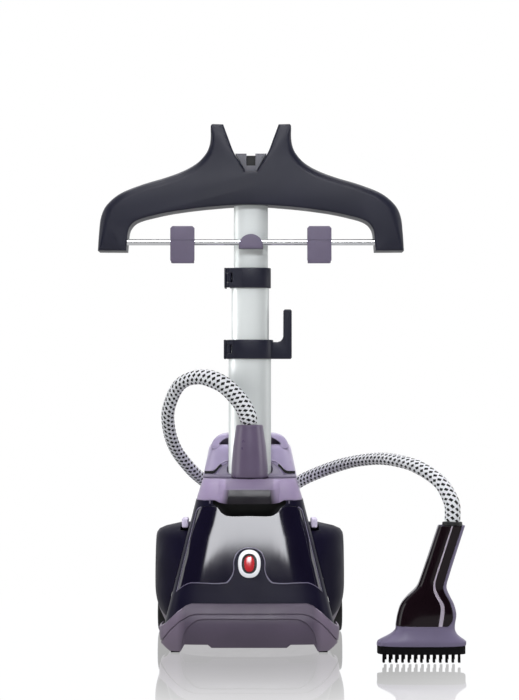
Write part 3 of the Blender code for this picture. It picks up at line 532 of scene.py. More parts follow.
def painted_nose_shade():
    """Lavender with painted shade: the nose's front face is painted dark at a fixed place, fading at its ends, and the
    nose's top is painted part way to a darker lavender.
    """
    material = plastic("cowl_painted_nose_shade", (156, 141, 172), 0.36, edge=0.001, specular=0.4)
    shader = Shader.over(material)
    place = shader.place()
    away = shader.math("ABSOLUTE", shader.math("ADD", place["X"], -POLE_X * MM))
    slant = shader.math("MULTIPLY", shader.math("SUBTRACT", place["Z"], 0.215), 0.19)
    beside = shader.spread(shader.math("ADD", away, slant), 1.0, 0.0, 0.0265, 0.0355)
    below = shader.spread(place["Z"], 1.0, 0.0, 0.2138, 0.2154)
    base = shader.out.inputs["Base Color"]
    lavender = base.links[0].from_socket
    # Painted shade: dark on the nose's front face, and a darker lavender on the nose's top.
    dark = shader.math("MULTIPLY", beside, below)
    over = shader.spread(place["Z"], 0.0, 0.6, 0.2146, 0.2156)
    brow = shader.math("MULTIPLY", shader.spread(away, 1.0, 0.0, 0.031, 0.034), over)
    shaded = shader.mixed(brow, lavender, linear(104, 92, 116))
    shader.link(shader.mixed(dark, shaded, linear(18, 12, 22)), base)
    return material


def painted_lit_feet():
    """Mauve with painted light: the bumper's two feet are painted paler."""
    material = plastic("mauve_bumper", (78, 68, 85), 0.45, edge=0.0014, specular=0.4)
    shader = Shader.over(material)
    place = shader.place()
    away = shader.math("ABSOLUTE", shader.math("ADD", place["X"], -POLE_X * MM))
    base = shader.out.inputs["Base Color"]
    mauve = base.links[0].from_socket
    # Painted light: paler mauve on the feet, away from the middle.
    shader.link(shader.mixed(shader.spread(away, 0, 1, 0.085, 0.096), mauve, linear(112, 100, 118)), base)
    return material


SLATE = plastic("slate_satin", (20, 21, 38), 0.42, edge=0.001, specular=0.35)
SLATE_BASE = plastic("slate_base", (17, 14, 35), 0.38, edge=0.001, specular=0.1)
HOUSING = plastic("slate_housing", (16, 13, 33), 0.42, edge=0.001, specular=0.04)
COVER = plastic("aubergine_cover", (20, 9, 15), 0.09, grain=120.0, bump=0.004, specular=0.25, edge=0.001)
GLOSS = plastic("aubergine_gloss", (15, 11, 32), 0.07, grain=120.0, bump=0.004, coat=0.3, specular=0.5, edge=0.001)
LAVENDER_DEEP = plastic("lavender_handset", (108, 100, 126), 0.4, edge=0.0012, specular=0.35)
TANK = plastic("tank_lavender", (184, 172, 204), 0.3, edge=0.0012, coat=0.1)
COWL = painted_nose_shade()
BUMPER = painted_lit_feet()
SHEEN = plastic("lavender_cuff", (96, 84, 107), 0.3, edge=0.001, specular=0.5)
PALE = plastic("pale_lavender", (214, 204, 228), 0.3)
# Grey for the highlight painted along the gloss panel's edge.
EDGE_HIGHLIGHT = plastic("edge_highlight_grey", (112, 106, 130), 0.3)
# Silver for the highlight painted down the handset cover.
SILVER_HIGHLIGHT = plastic("silver_highlight_strip", (176, 166, 180), 0.25)
MAUVE = plastic("mauve_satin", (78, 68, 85), 0.45, edge=0.0014, specular=0.4)
PALE_MAUVE = plastic("pale_mauve", (150, 138, 158), 0.35)
CLIP = plastic("clip_mauve", (104, 96, 117), 0.5, edge=0.0012, specular=0.35)
DECK = plastic("deck_grey", (112, 105, 124), 0.42, specular=0.4)
BLACK = plastic("black_matt", (10, 9, 12), 0.55)
BRISTLE = plastic("bristle_black", (8, 7, 10), 0.7, specular=0.1)
RUBBER = plastic("rubber", (14, 14, 16), 0.75, grain=500.0, bump=0.15)
GREY = plastic("cradle_grey", (98, 98, 106), 0.5, edge=0.0012)
WHITE = plastic("white_gloss", (236, 236, 240), 0.2, vary=0.03)
RED = plastic("lens_red", (196, 36, 44), 0.15, coat=0.8, vary=0.3)
ALUMINIUM = metal("brushed_aluminium", (202, 206, 205), 0.42, (1, 1, 0.012), 0.008, metallic=0.25, fade=0.975)
CHROME = metal("chrome", (225, 226, 228), 0.09, (0.02, 1, 1), 0.02)
STEEL = metal("steel", (170, 170, 172), 0.32, (1, 0.05, 1), 0.05)
CAST = metal("cast_aluminium", (150, 150, 152), 0.5, (1, 1, 1), 0.3)
BRASS = metal("brass", (196, 160, 92), 0.35, (1, 1, 1), 0.1)
BRAID = braid()


# ---------------------------------------------------------------- pieces


def piece(name, mesh, material, rides_on, nodes=(), sharp=30, shift=0.0):
    mesh.transform(TO_WORLD @ Matrix.Translation((shift, 0, 0)))
    obj = bpy.data.objects.new(name, mesh)
    bpy.context.scene.collection.objects.link(obj)
    mesh.materials.clear()
    mesh.materials.append(material)
    mesh.shade_smooth()
    mesh.set_sharp_from_angle(angle=math.radians(sharp))
    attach(obj, rides_on)
    if nodes:
        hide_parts(*nodes)
    return obj


def finish_node(name, material):
    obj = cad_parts[name]
    obj.data.materials.clear()
    obj.data.materials.append(material)
    obj.data.shade_smooth()
    obj.data.set_sharp_from_angle(angle=math.radians(30))


# ---------------------------------------------------------------- camera and hose


def make_camera():
    data = bpy.data.cameras.new("camera")
    camera = bpy.data.objects.new("camera", data)
    bpy.context.scene.collection.objects.link(camera)
    data.sensor_width = 36.0
    data.lens = 1770 * 36.0 / PHOTO[1]
    data.clip_end = 100
    camera.location = TO_WORLD @ Vector((13.7, -2500, 344))
    camera.rotation_euler = (math.radians(90 + 1.44), 0, 0)
    bpy.context.scene.camera = camera


def make_hose():
    """A braided sleeve swept along the route, with a slight bead at each crossing of the strands."""
    around, columns, pitch = 40, 10, 6.7
    points, places, length = route_points(HOSE_ROUTE, 2.2)
    bm = bmesh.new()
    uv = bm.loops.layers.uv.new("UVMap")
    rings, normal = [], Vector((1, 0, 0))
    for i, point in enumerate(points):
        ahead = points[min(i + 1, len(points) - 1)] - points[max(i - 1, 0)]
        tangent = ahead.normalized()
        normal = (normal - tangent * normal.dot(tangent)).normalized()
        side = tangent.cross(normal)
        ring = []
        radius = between(HOSE_RADII, places[i])
        for k in range(around):
            angle = 2 * math.pi * k / around
            ring.append(bm.verts.new(point + (normal * math.cos(angle) + side * math.sin(angle)) * radius))
        rings.append(ring)
    flatter = Matrix.Diagonal((1, 0.4, 1))
    rows = [0.0]
    for a, b in zip(points, points[1:]):
        rows.append(rows[-1] + (flatter @ (b - a)).length / pitch)
    for i, (low, high) in enumerate(zip(rings, rings[1:])):
        for k in range(around):
            j = (k + 1) % around
            face = bm.faces.new((low[k], low[j], high[j], high[k]))
            corners = ((k, i), (k + 1, i), (k + 1, i + 1), (k, i + 1))
            for loop, (a, b) in zip(face.loops, corners):
                loop[uv].uv = (a * columns / around, rows[b])
    bm.faces.new(rings[0][::-1])
    bm.faces.new(rings[-1])
    hose = piece("braided_hose", new_mesh(bm), BRAID, "base", ["steam_hose"])


# ---------------------------------------------------------------- base


HULL = (
    (10, 105, -100, 138),
    (16, 111, -105, 144),
    (25, 116.5, -109, 147),
    (38, 123, -112, 149.5),
    (52, 128.8, -112, 150),
    (66, 132, -110, 150),
    (80, 133, -107, 150),
    (115, 133.2, -95, 150),
    (140, 133, -76, 149),
    (150, 132, -66, 147),
    (155.5, 128.5, -58, 144),
    (160, 119, -48, 140),
    (165.2, 96, -36, 134),
)


def front_face_y(z):
    return FRONT_TOP[1] - (FRONT_TOP[0] - z) * SLOPE


def tower_half(z):
    return 74 + (FRONT_TOP[0] - z) * 0.2484


def surround_rows(inset_by=0.0):
    rows = []
    for z, back in ((36, -32), (66, -32), (110, -32), (150, -32), (168, 23), (199, 23)):
        half = tower_half(z)
        rows.append((z, -half + inset_by, half - inset_by, front_face_y(z) + inset_by, back))
    return rows


def front_housing_solid(inset_by=0.0, grow=0.0, back=0.0):
    rows = [(z, a - grow, b + grow, c - grow, d + back) for z, a, b, c, d in surround_rows(inset_by)]
    return body(moved_ends(rows, -grow, grow), 5, smooth=0)


def arch_line(drop=0.0):
    return [(0, 65 - drop), (77, 65 - drop), (85, 62.2 - drop), (97, 53.3 - drop), (111.5, 39.5 - drop)]


def skirt_line(shift=0.0):
    knots = [(-122, 26), (-85, 31 + shift), (-40, 48 + shift), (0, 62 + shift), (40, 71 + shift), (160, 73 + shift)]
    return spline_at(knots, 8)


def panel_outline(grow=0.0):
    g = grow
    half = [
        (0, 178.8 + g),
        (29, 178.8 + g),
        (38, 183 + g),
        (45 - g, 191 + g),
        (66 + g, 191 + g),
        (71 + g, 188 + g),
        (73 + g, 184),
        (98.5 + g, 78 - g),
        (92, 84 - g),
        (84, 89 - g),
        (77, 90.8 - g),
        (32 - g, 90.8 - g),
        (24 - g, 98 - g),
        (20.5 - g, 108),
        (20.5 - g, 119),
        (16 - g, 130 - g),
        (8, 135.5 - g),
        (0, 136.5 - g),
    ]
    return mirrored(half)


def along_switch(outline, low, high, bevel=0.0):
    mesh = prism([outline], low, high, "Z", bevel)
    turn = Matrix.Rotation(math.pi / 2 - TILT, 4, "X")
    mesh.transform(Matrix.Translation((0, front_face_y(SWITCH_Z), SWITCH_Z)) @ turn)
    return mesh


def leaned(mesh):
    """The hull with its shoulders falling away towards the rear."""
    for vertex in mesh.vertices:
        share = min(max(vertex.co.z - 120, 0) / 40, 1)
        vertex.co.z -= 0.0715 * max(vertex.co.y, 0) * share
    return mesh


def make_tray_and_housing():
    rows = spline_at(symmetric(HULL), 5.0)
    inner = shrunk(rows, 3.0)
    solid = leaned(body(rows, 3, smooth=0))
    hollow = leaned(body(moved_ends(inner, 3, -3), 3, smooth=0))
    shell = carve(carve(solid, hollow), front_housing_solid(grow=GAP, back=1))
    above = [(-170, 26), *[tuple(p) for p in skirt_line(-0.3)], (170, 73), (170, 190), (-170, 190)]
    tray = carve(shell.copy(), prism([above], -150, 150, "X"))
    for side in (-1, 1):
        tray = carve(tray, cylinder((side * 113.5, 90, 28), (side * 140, 90, 28), 31))
    piece("tray_skin", tray, MAUVE, "base", ["base_tray"])
    below = [(-170, 26), *[tuple(p) for p in skirt_line(0.5)], (170, 73), (170, -20), (-170, -20)]
    housing = carve(shell, prism([below], -150, 150, "X"))
    beside = [(tower_half(z) + GAP, z) for z in (190, 8)]
    housing = carve(housing, prism([mirrored(beside)], -140, -30))
    housing = united(housing, box((-56, 133, 150), (56, 149, 176), 3))
    housing = carve(housing, box((-85, 24.5, 120), (85, 131.6, 172)))
    housing = carve(housing, prism([oval(63, 37)], 150, 180, "Z"))
    for side in (-1, 1):
        inside, outside = sorted((side * 84, side * 96.2))
        housing = carve(housing, box((inside, -49, 155.5), (outside, -17, 180)))
    piece("housing_skin", housing, HOUSING, "base", ["rear_housing"])


def make_front():
    inner = [(z, a, b, c, d + 6) for z, a, b, c, d in surround_rows(5.2)]
    surround = carve(front_housing_solid(), body(moved_ends(inner, -4, 4), 5, smooth=0))
    low = [(0, 59.5), (77, 59.5), (85, 57), (97, 47.5), (111.5, 33.5), (150, 33.5), (150, 20), (0, 20)]
    surround = carve(surround, prism([mirrored(low)], -160, 60))
    grown = [(z, a - 2, b + 2, c - 2, d) for z, a, b, c, d in surround_rows()]
    within = body(moved_ends(surround_rows(3.4), -6, 6), 5, smooth=0)
    recess = carve(body(moved_ends(grown, -2, 2), 5, smooth=0), within)
    surround = carve(surround, common(recess, prism([rounded(panel_outline(GAP), 60)], -150, -60)))
    scoop = [(0, 178.4), (29, 178.4), (38, 182.6), (45, 190.6), (50, 195), (50, 205), (0, 205)]
    surround = carve(surround, prism([mirrored(scoop[::-1])], -150, -60))
    surround = carve(surround, along_switch(oval(17, 27), -14, 6))
    piece("surround_skin", surround, SLATE_BASE, "base", ["front_surround"])
    skin = carve(front_housing_solid(), body(moved_ends(surround_rows(2.5), -6, 6), 5, smooth=0))
    panel = common(skin, prism([rounded(panel_outline(), 60)], -150, -60))
    piece("panel_skin", panel, GLOSS, "base", ["front_panel"])
    # Painted highlight: a thin grey strip along the panel's edge, where its bevel catches the light.
    edge = [rounded(panel_outline(0.1), 60), rounded(panel_outline(-0.9), 60)]
    rim = carve(front_housing_solid(grow=0.25), body(moved_ends(surround_rows(1.0), -6, 6), 5, smooth=0))
    rim = carve(common(rim, prism(edge, -150, -60)), box((-66, -160, 160), (66, -40, 200)))
    piece("panel_edge_highlight", rim, EDGE_HIGHLIGHT, "base")
    # Painted shade: a black sheet at the back of the scoop, for the dark inside of the recess.
    piece("scoop_shade_sheet", box((-60, -70, 168), (60, -66, 199), 1.0), BLACK, "base")
    for side in (-1, 1):
        tab = box((side * 54 - 0.9, -86, 195.5), (side * 54 + 0.9, -82, 200.5), 0.3)
        piece(f"cowl_tab_{side + 1}", tab, DECK, "base")
    ring = carve(along_switch(oval(30.4, 38.4), 0.4, 3.0, 0.9), along_switch(oval(20.6, 27.6), -3, 8))
    piece("switch_ring_skin", ring, WHITE, "base", ["switch_ring"])
    lens = along_switch(oval(13.8, 22), -8, 3.6, 1.8)
    well = along_switch(oval(20.2, 27.2), -0.6, 0.5)
    piece("switch_well", carve(well, along_switch(oval(14.2, 22.4), -2, 2)), BLACK, "base")
    piece("switch_lens", lens, RED, "button", ["power_button"])


def make_bumper():
    rows = (
        (0, -113, 113, -137, -58),
        (12, -119, 119, -143, -58),
        (30, -121, 121, -146, -58),
        (50, -119.5, 119.5, -142, -58),
        (66, -113, 113, -128.6, -58),
    )
    inner = [(z, a + 3, b - 3, c + 3, d + 9) for z, a, b, c, d in rows]
    bumper = carve(body(rows, 4.2), body(moved_ends(inner, -4, 4), 4.2))
    edge = [*arch_line(), (123, 31), (124, 12), (116, 10), (106.3, 1.9), (91.4, 1.9), (86, 11.8)]
    edge += [(55, 11.8), (50, 7.5), (0, 7.5)]
    bumper = common(bumper, prism([mirrored(edge)], -160, -40))
    for side in (-1, 1):
        bumper = united(bumper, box((side * 98.8 - 6.6, -130, 2.4), (side * 98.8 + 6.6, -113, 15), 1.0))
    bumper = carve(bumper, body(symmetric(HULL[:7]), 3, grow=GAP))
    bumper = carve(bumper, front_housing_solid(grow=GAP, back=20))
    seam = [(0, 52.3), (71, 52.3), (80, 50), (93, 42.5), (105, 31.5), (119, 14.4), (124, 10), (122, 8.5)]
    seam += [(117.5, 13.2), (104, 30.5), (92.2, 41.6), (79.6, 49.1), (71, 51.3), (0, 51.3)]
    apron = [(0, 45.5), (62, 45.5), (72, 42.5), (81, 35), (87, 24), (90, 8), (91, 0), (0, 0)]
    grown = [(z, a - 2, b + 2, c - 2, d) for z, a, b, c, d in rows]
    sunk = [(z, a + 1.1, b - 1.1, c + 1.1, d) for z, a, b, c, d in rows]
    skin = carve(body(moved_ends(grown, -2, 2), 4.2), body(moved_ends(sunk, -4, 4), 4.2))
    bumper = carve(bumper, common(skin, prism([rounded(mirrored(apron), 60)], -170, -100)))
    bumper = carve(bumper, common(skin, prism([mirrored(seam)], -160, -100)))
    # Painted highlight: a pale mauve strip along the bumper's top edge.
    edge = [(u, v + 0.1) for u, v in arch_line()[:-1]] + [(u, v - 1.0) for u, v in arch_line()[-2::-1]]
    grown = [(z, a - 0.3, b + 0.3, c - 0.3, d) for z, a, b, c, d in rows]
    skin = carve(body(grown, 4.2), body(moved_ends(sunk, -4, 4), 4.2))
    piece("bumper_edge_highlight", common(skin, prism([mirrored(edge)], -170, -100)), PALE_MAUVE, "base")
    piece("bumper_skin", bumper, BUMPER, "base", ["front_bumper"])


COLLAR = (
    (229.6, 48.5, -22, 22.6),
    (232.8, 45.8, -12, 22.6),
    (237.6, 42.4, -4, 22.6),
    (241.4, 39.6, 2, 22.6),
    (245.2, 35.7, 9, 22.6),
    (247.6, 31.5, 14, 22.6),
    (249, 26, 18, 22.2),
)


def cowl_ring(z, half, front, nose, nose_half):
    ring = []
    for x, y, _ in section(z, -half, half, front, 23, 7, 144):
        share = min(max((nose_half + 11 - abs(x)) / 11, 0), 1)
        ring.append((x, y - nose * share if y < -20 else y, z))
    return ring


def make_cowl():
    rows = (
        (195, 71, -78.5, 16.5, 28.5),
        (201, 72.6, -79, 15.5, 29),
        (213, 69.3, -76.7, 14.5, 30),
        (215.5, 68.6, -76, 13.5, 30.2),
        (222, 66.4, -73, 6.8, 31),
        (228, 64.6, -68, 0, 31.5),
    )
    inner = symmetric([(190, 68, -74, 40), (201, 69.6, -75, 40), (214, 66, -72.5, 40), (224.8, 62.6, -66, 40)])
    cowl = carve(loft([cowl_ring(*row) for row in spline_at(rows, 1.5)]), body(inner, 7))
    low = [(0, 195.2), (33, 195.2), (40, 196), (47, 199.5), (150, 199.5), (150, 180), (0, 180)]
    cowl = carve(cowl, prism([mirrored(low)], -160, 60))
    cowl = carve(cowl, prism([oval(63, 37)], 215, 240, "Z"))
    cowl = carve(cowl, cylinder((0, CUFF_Y, 218), (0, CUFF_Y, 240), 7))
    cowl = carve(cowl, cylinder((0, CUFF_Y, 226.2), (0, CUFF_Y, 240), 24.4))
    piece("cowl_skin", cowl, COWL, "base", ["front_cowl"])
    plate = [(228.4, -65.2, 65.2, -46, 23), (230.2, -65.2, 65.2, -46, 23), (230.9, -64.4, 64.4, -45.3, 22.4)]
    deck = united(body(plate, 7, smooth=0), body(symmetric(COLLAR), 3, smooth=1.0))
    deck = carve(deck, prism([oval(65, 37)], 220, 260, "Z"))
    deck = carve(deck, cylinder((0, CUFF_Y, 220), (0, CUFF_Y, 260), 25.8))
    piece("deck_skin", deck, DECK, "base", ["pole_deck"])
    profile = [(23.5, 0), (25, 1.5), (25.2, 12), (24.3, 26), (22.6, 44), (19.4, 66), (18.6, 72), (17.4, 73.2)]
    outside = [(r, z) for z, r in spline_at([(z, r) for r, z in profile], 2.0)]
    cuff = turned(outside + [(11.5, 73.2), (11.5, 70), (8, 68), (8, 0)], (0, CUFF_Y, 228.8), steps=96)
    piece("cuff_skin", cuff, SHEEN, "base", ["hose_cuff"])


def make_body_clips():
    for name, side in (("left", -1), ("right", 1)):
        inside, outside = sorted((side * 84.8, side * 93.8))
        clip = box((inside, -48, 159.5), (outside, -18, 173), 2.5, 4)
        piece(f"body_clip_{name}_skin", clip, PALE, "base", [f"body_clip_{name}"])


def make_wheels():
    for name, side in (("wheel_left", -1), ("wheel_right", 1)):
        near, far = side * 116.0, side * 133.5
        r = 28.0
        profile = [
            (4.4, near),
            (20, near),
            (r - 1.5, near),
            (r - 0.4, near + side * 0.6),
            (r, near + side * 2),
            (r, far - side * 3.5),
            (r - 0.8, far - side * 1.6),
            (r - 2.5, far - side * 0.6),
            (r - 6, far),
            (21, far),
            (20, far - side * 3),
            (9, far - side * 3),
            (8, far - side * 0.5),
            (4.4, far - side * 0.5),
        ]
        wheel = turned(profile, (0, 90, 28), "X", 96)
        piece(f"{name}_skin", wheel, RUBBER, "left_wheel" if side < 0 else "right_wheel", [name])


# ---------------------------------------------------------------- tank


TANK_WAVE = (
    (0, 251),
    (22, 251),
    (33, 249.8),
    (39.5, 247),
    (44, 243.4),
    (48, 238.8),
    (52, 236.2),
    (57, 235.6),
    (90, 235.6),
)


def tank_rows(inset_by=0.0):
    rows = (
        (100, 70, 34, 124),
        (150, 80, 29, 130.6),
        (170, 80, 29, 130.6),
        (195, 74, 28, 129.5),
        (228, 67, 24.2, 127),
        (239, 65, 24, 125.5),
        (262, 60.2, 24, 121),
        (268.5, 58.7, 24.6, 118),
        (272, 56.4, 27, 115),
    )
    return [(z, -half + inset_by, half - inset_by, front + inset_by, back - inset_by) for z, half, front, back in rows]


def wave_line(drop=0.0, start=0.0):
    return [(u, v - drop) for u, v in spline_at(list(TANK_WAVE), 1.5) if u >= start]


def make_tank():
    arch = [(0, 288.6), (30, 288.6), (38, 287.8), (44.5, 285.5), (50.5, 281)]
    arch += [(54, 275.5), (55.5, 269), (54, 266), (0, 266)]
    tank = united(body(tank_rows(), 4.5, smooth=3.0), prism([rounded(mirrored(arch), 60)], 28, 98, bevel=2.6))
    pocket = [(0, 284), (26, 284), (35, 281), (42, 276), (44, 272.6), (0, 272.6)]
    tank = carve(tank, prism([rounded(mirrored(pocket), 60)], 15, 60))
    tank = carve(tank, prism([mirrored([*wave_line(), (90, 190)])], 10, TANK_RECESS_Y))
    piece("tank_skin", tank, TANK, "tank", ["water_tank"])
    # Painted highlight: a pale strip along the top of the wave.
    skin = body([(z, a, b, c - 0.5, d) for z, a, b, c, d in tank_rows()], 4.5, smooth=3.0)
    lip = common(skin, prism([mirrored([*wave_line(-1.1), *reversed(wave_line(0.2))])], 10, 27))
    piece("tank_lip_highlight", lip, PALE, "tank")
    lining = prism([rounded(mirrored([(u * 0.97, 272.4 + (v - 272.4) * 0.95) for u, v in pocket]), 60)], 58.6, 59.6)
    piece("handle_lining", lining, PALE_MAUVE, "tank")
    # Painted shade: black strips just below the wave's sides, where the gap under the tank's lip is dark.
    for name, side in (("left", -1), ("right", 1)):
        upper, lower = wave_line(0.3, 40), wave_line(4.6, 38)
        band = [(side * u, v) for u, v in [*upper, *reversed(lower)] if u < 65.5]
        piece(f"tank_gap_shade_{name}", prism([band], 24.9, 25.9), BLACK, "tank")


# ---------------------------------------------------------------- pole


def make_tubes():
    for name, (width, depth, wall, low, high, shift, rides_on) in TUBES.items():
        tube = prism([oval(width, depth, 120), oval(width - 2 * wall, depth - 2 * wall, 120)], low, high, "Z")
        piece(f"{name}_skin", tube, ALUMINIUM, rides_on, [name], shift=shift)


def clamp_band(outer, tube, inner_tube, low, high, lean):
    middle = (low + high) / 2
    lug = [(-12, LEVER_PIN[1] - LUG_RADIUS), (-12, LEVER_PIN[1] + LUG_RADIUS)]
    for step in range(25):
        angle = math.pi * (0.5 + step / 24)
        lug.append((LEVER_PIN[0] + LUG_RADIUS * math.cos(angle), LEVER_PIN[1] + LUG_RADIUS * math.sin(angle)))
    band = united(prism([oval(*outer, 96)], low, high, "Z", 0.9), prism([lug], low + 0.4, high - 0.4, "Z"))
    guide = [(u + lean, v) for u, v in oval(inner_tube[0] + 1, inner_tube[1] + 1)]
    for tool in (
        prism([oval(tube[0] + 0.9, tube[1] + 0.9)], low - 5, high - 1.7, "Z"),
        prism([guide], low - 5, high + 5, "Z"),
        box((-40, -22, middle - 6.5), (-25.2, -4, middle + 6.5)),
        cylinder((*LEVER_PIN, low - 5), (*LEVER_PIN, high + 5), 1.9, 20),
    ):
        band = carve(band, tool)
    return band


def make_clamps():
    low, high = 394.2, 421.0
    hook = [
        (30.9, high - 3),
        (39.5, high - 3),
        (43.5, high - 1.6),
        (46.0, high + 1.4),
        (47.2, high + 5),
        (47.4, high + 41),
        (49.4, high + 43),
        (57.2, high + 43),
        (59.2, high + 41),
        (59.2, low + 1.5),
        (57.7, low),
        (30.9, low),
    ]
    band = clamp_band((66.4, 40), TUBES["lower_tube"], TUBES["middle_tube"], low, high, MIDDLE_X)
    piece("hook_clamp_skin", united(band, prism([hook], -9, 9, bevel=1.6)), SLATE, "base", ["hook_clamp"])
    low, high = 494.2, 522.4
    upper = clamp_band((58.4, 34), TUBES["middle_tube"], TUBES["upper_tube"], low, high, UPPER_X - MIDDLE_X)
    piece("upper_clamp_skin", upper, SLATE, "middle_section", ["upper_clamp"], shift=MIDDLE_X)
    for name, low, high, shift in (("lower", 394.2, 421.0, 0.0), ("upper", 494.2, 522.4, MIDDLE_X)):
        middle = (low + high) / 2
        plate = box((-36.6, -14, low), (-33.25, 17, high), 1.0)
        knuckle = cylinder((*LEVER_PIN, middle - 6), (*LEVER_PIN, middle + 6), 3.4, 32)
        web = box((-35, -13, middle - 6), (-30, -10, middle + 6))
        lever = united(plate, web, knuckle)
        piece(f"{name}_lever_skin", lever, SLATE, f"{name}_lever", [f"{name}_clamp_lever"], shift=shift)


# ---------------------------------------------------------------- hanger


HANGER_HALF = (
    (0, 657.5, 3),
    (8.3, 657.5, 3),
    (13.1, 665.8, 3),
    (24.3, 685, 3),
    (31.6, 704, 3),
    (39, 724, 3),
    (54.6, 724, 0.7),
    (56.4, 721.5, 0.9),
    (56.6, 706, 6),
    (58.5, 694, 8),
    (63.5, 683.4, 10),
    (75.4, 670.6, 12),
    (94.6, 659.4, 12),
    (120.2, 649.8, 12),
    (152.2, 640.2, 12),
    (184.1, 627.4, 13),
    (203.3, 611.4, 14),
    (211.3, 595.4, 15),
    (213.9, 573, 11),
    (215, 545.9, 4),
    (175, 545.9, 1.2),
    (174, 557, 2.5),
    (171.4, 576.3, 2.5),
    (161.8, 587.4, 2.5),
    (136.2, 595.4, 2.5),
    (104.2, 601.8, 2.5),
    (56.3, 607.6, 2.5),
    (0, 611, 2.5),
)


def hanger_half(side):
    """One half of the hanger, with a wide shoulder along its top and ends and a tight edge below."""
    half = list(HANGER_HALF)
    whole = half + [(-u, v, r) for u, v, r in reversed(half) if u > 0]
    steps = 5
    outline = rounded([(u, v) for u, v, _ in whole], 50, steps)
    radii = []
    for i, row in enumerate(whole):
        following = whole[(i + 1) % len(whole)][2]
        radii += [row[2] + (following - row[2]) * k / steps for k in range(steps)]
    bm = bmesh.new()
    rings = [[bm.verts.new((u, side * 0.2, v)) for u, v in outline]]
    for k in range(8):
        angle = math.pi / 2 * k / 7
        moved = inset(outline, [r * (1 - math.cos(angle)) for r in radii])
        rings.append([bm.verts.new((u, side * (22 - r * (1 - math.sin(angle))), v)) for (u, v), r in zip(moved, radii)])
    count = len(outline)
    for low, high in zip(rings, rings[1:]):
        for i in range(count):
            j = (i + 1) % count
            bm.faces.new((low[i], low[j], high[j], high[i]))
    bm.faces.new(rings[0])
    bm.faces.new(rings[-1])
    return new_mesh(bm)


def make_hanger():
    for name, side in (("front", -1), ("rear", 1)):
        shell = hanger_half(side)
        node = f"hanger_{name}"
        piece(f"{node}_skin", shell, SLATE, "upper_section", [node], sharp=38, shift=UPPER_X)
    cradle = [(6.3, 684), (21.9, 684), (12.4, 667), (7.6, 658.1)]
    slot = [(-6.3, 667), (6.3, 667)]
    insert = prism([cradle + [(-u, v) for u, v in reversed(cradle)] + slot], -10, 10, bevel=0.6)
    piece("cradle_skin", insert, GREY, "upper_section", ["cradle_insert"], shift=UPPER_X)
    back = [(0, 683.4), (7, 683.4), (7, 666), (0, 666)]
    piece("cradle_back", prism([mirrored(back)], 8.5, 9.7), BLACK, "upper_section", shift=UPPER_X)
    rod = cylinder((-190, *ROD_AT), (190, *ROD_AT), 4.4, 64)
    piece("rod_skin", rod, CHROME, "upper_section", ["trouser_rod"], shift=UPPER_X)
    dome = [(16.8, 548.5)]
    for step in range(33):
        angle = math.pi * step / 32
        dome.append((16.8 * math.cos(angle), 552.5 + 16.5 * math.sin(angle)))
    dome.append((-16.8, 548.5))
    cover = carve(prism([dome], -26, -10.9, bevel=1.5), cylinder((-40, *ROD_AT), (40, *ROD_AT), 4.7))
    cover = carve(cover, box((-30, -12.6, 540), (30, 0, 562)))
    piece("centre_clip_skin", cover, CLIP, "upper_section", ["rod_centre_clip"], shift=UPPER_X)


def make_garment_clips():
    y, z = ROD_AT
    half, tall, low = 17.0, 52.2, 527.9
    high = low + tall
    for name, side in (("left", -1), ("right", 1)):
        x = side * 96.0
        plate = box((x - half + 1.5, y + 6.5, low + 2.5), (x + half - 1.5, y + 9.3, high - 1.5), 1.2)
        sleeve = cylinder((x - 8, y, z), (x + 8, y, z), 6.4, 40)
        web = box((x - 8, y + 3, z - 4), (x + 8, y + 8, z + 4))
        lip = box((x - half + 1, y + 0.3, low + 1), (x + half - 1, y + 8, low + 5), 0.6)
        back = united(plate, web, sleeve, lip)
        piece(f"clip_back_{name}_skin", back, CLIP, f"{name}_clip", [f"clip_back_{name}"], shift=UPPER_X)
        corners = [(x - half, high - 3), (x - half + 3, high), (x + half - 3, high), (x + half, high - 3)]
        corners += [(x + half, low + 4), (x + half - 4, low), (x - half + 4, low), (x - half, low + 4)]
        face = prism([corners], y - 10, y - 7.2, bevel=0.9)
        face = carve(face, box((x - half - 2, y - 12, z + 1.6), (x + half + 2, y - 9.6, z + 2.4)))
        grip = box((x - half + 1, y - 8, low + 1), (x + half - 1, y - 0.3, low + 5), 0.6)
        ears = []
        for ear_x in (x - 12.3, x + 12.3):
            ears.append(box((ear_x - 3.4, y - 9, z - 4.5), (ear_x + 3.4, y - 2, z + 4.5)))
            ears.append(cylinder((ear_x - 3.4, y, z), (ear_x + 3.4, y, z), 6.1, 32))
        jaw = united(face, grip, *ears)
        piece(f"clip_jaw_{name}_skin", jaw, CLIP, f"{name}_jaw", [f"clip_jaw_{name}"], shift=UPPER_X)


# ---------------------------------------------------------------- handset


HANDSET_ROWS = (
    (23.6, 163.9, 277.6, 22),
    (28.5, 165.2, 278.1, 23),
    (32.5, 172.5, 272.5, 22.3),
    (37, 181, 267.3, 21.2),
    (43, 187.6, 264, 20.3),
    (50, 188.3, 263.8, 20),
    (63, 190.6, 265.6, 19.4),
    (76, 195, 262.6, 18.4),
    (86, 202.8, 257.6, 17.4),
    (97, 214.2, 253.2, 16.6),
    (106, 218.9, 254.6, 16.2),
    (176.2, 242.7, 277.1, 15),
)


def handset_rows(inset_by=0.0):
    rows = []
    for z, left, right, half in HANDSET_ROWS:
        rows.append((z, left + inset_by, right - inset_by, HANDSET_Y - half + inset_by, HANDSET_Y + half - inset_by))
    return rows


def cover_outline(grow=0.0):
    g = grow
    return [
        (150, 49 - g),
        (254 + g, 49 - g),
        (259 + g, 56 - g),
        (259.5 + g, 66),
        (256 + g, 79),
        (249 + g, 92),
        (247.5 + g, 100),
        (274.5 + g, 184),
        (150, 184),
    ]


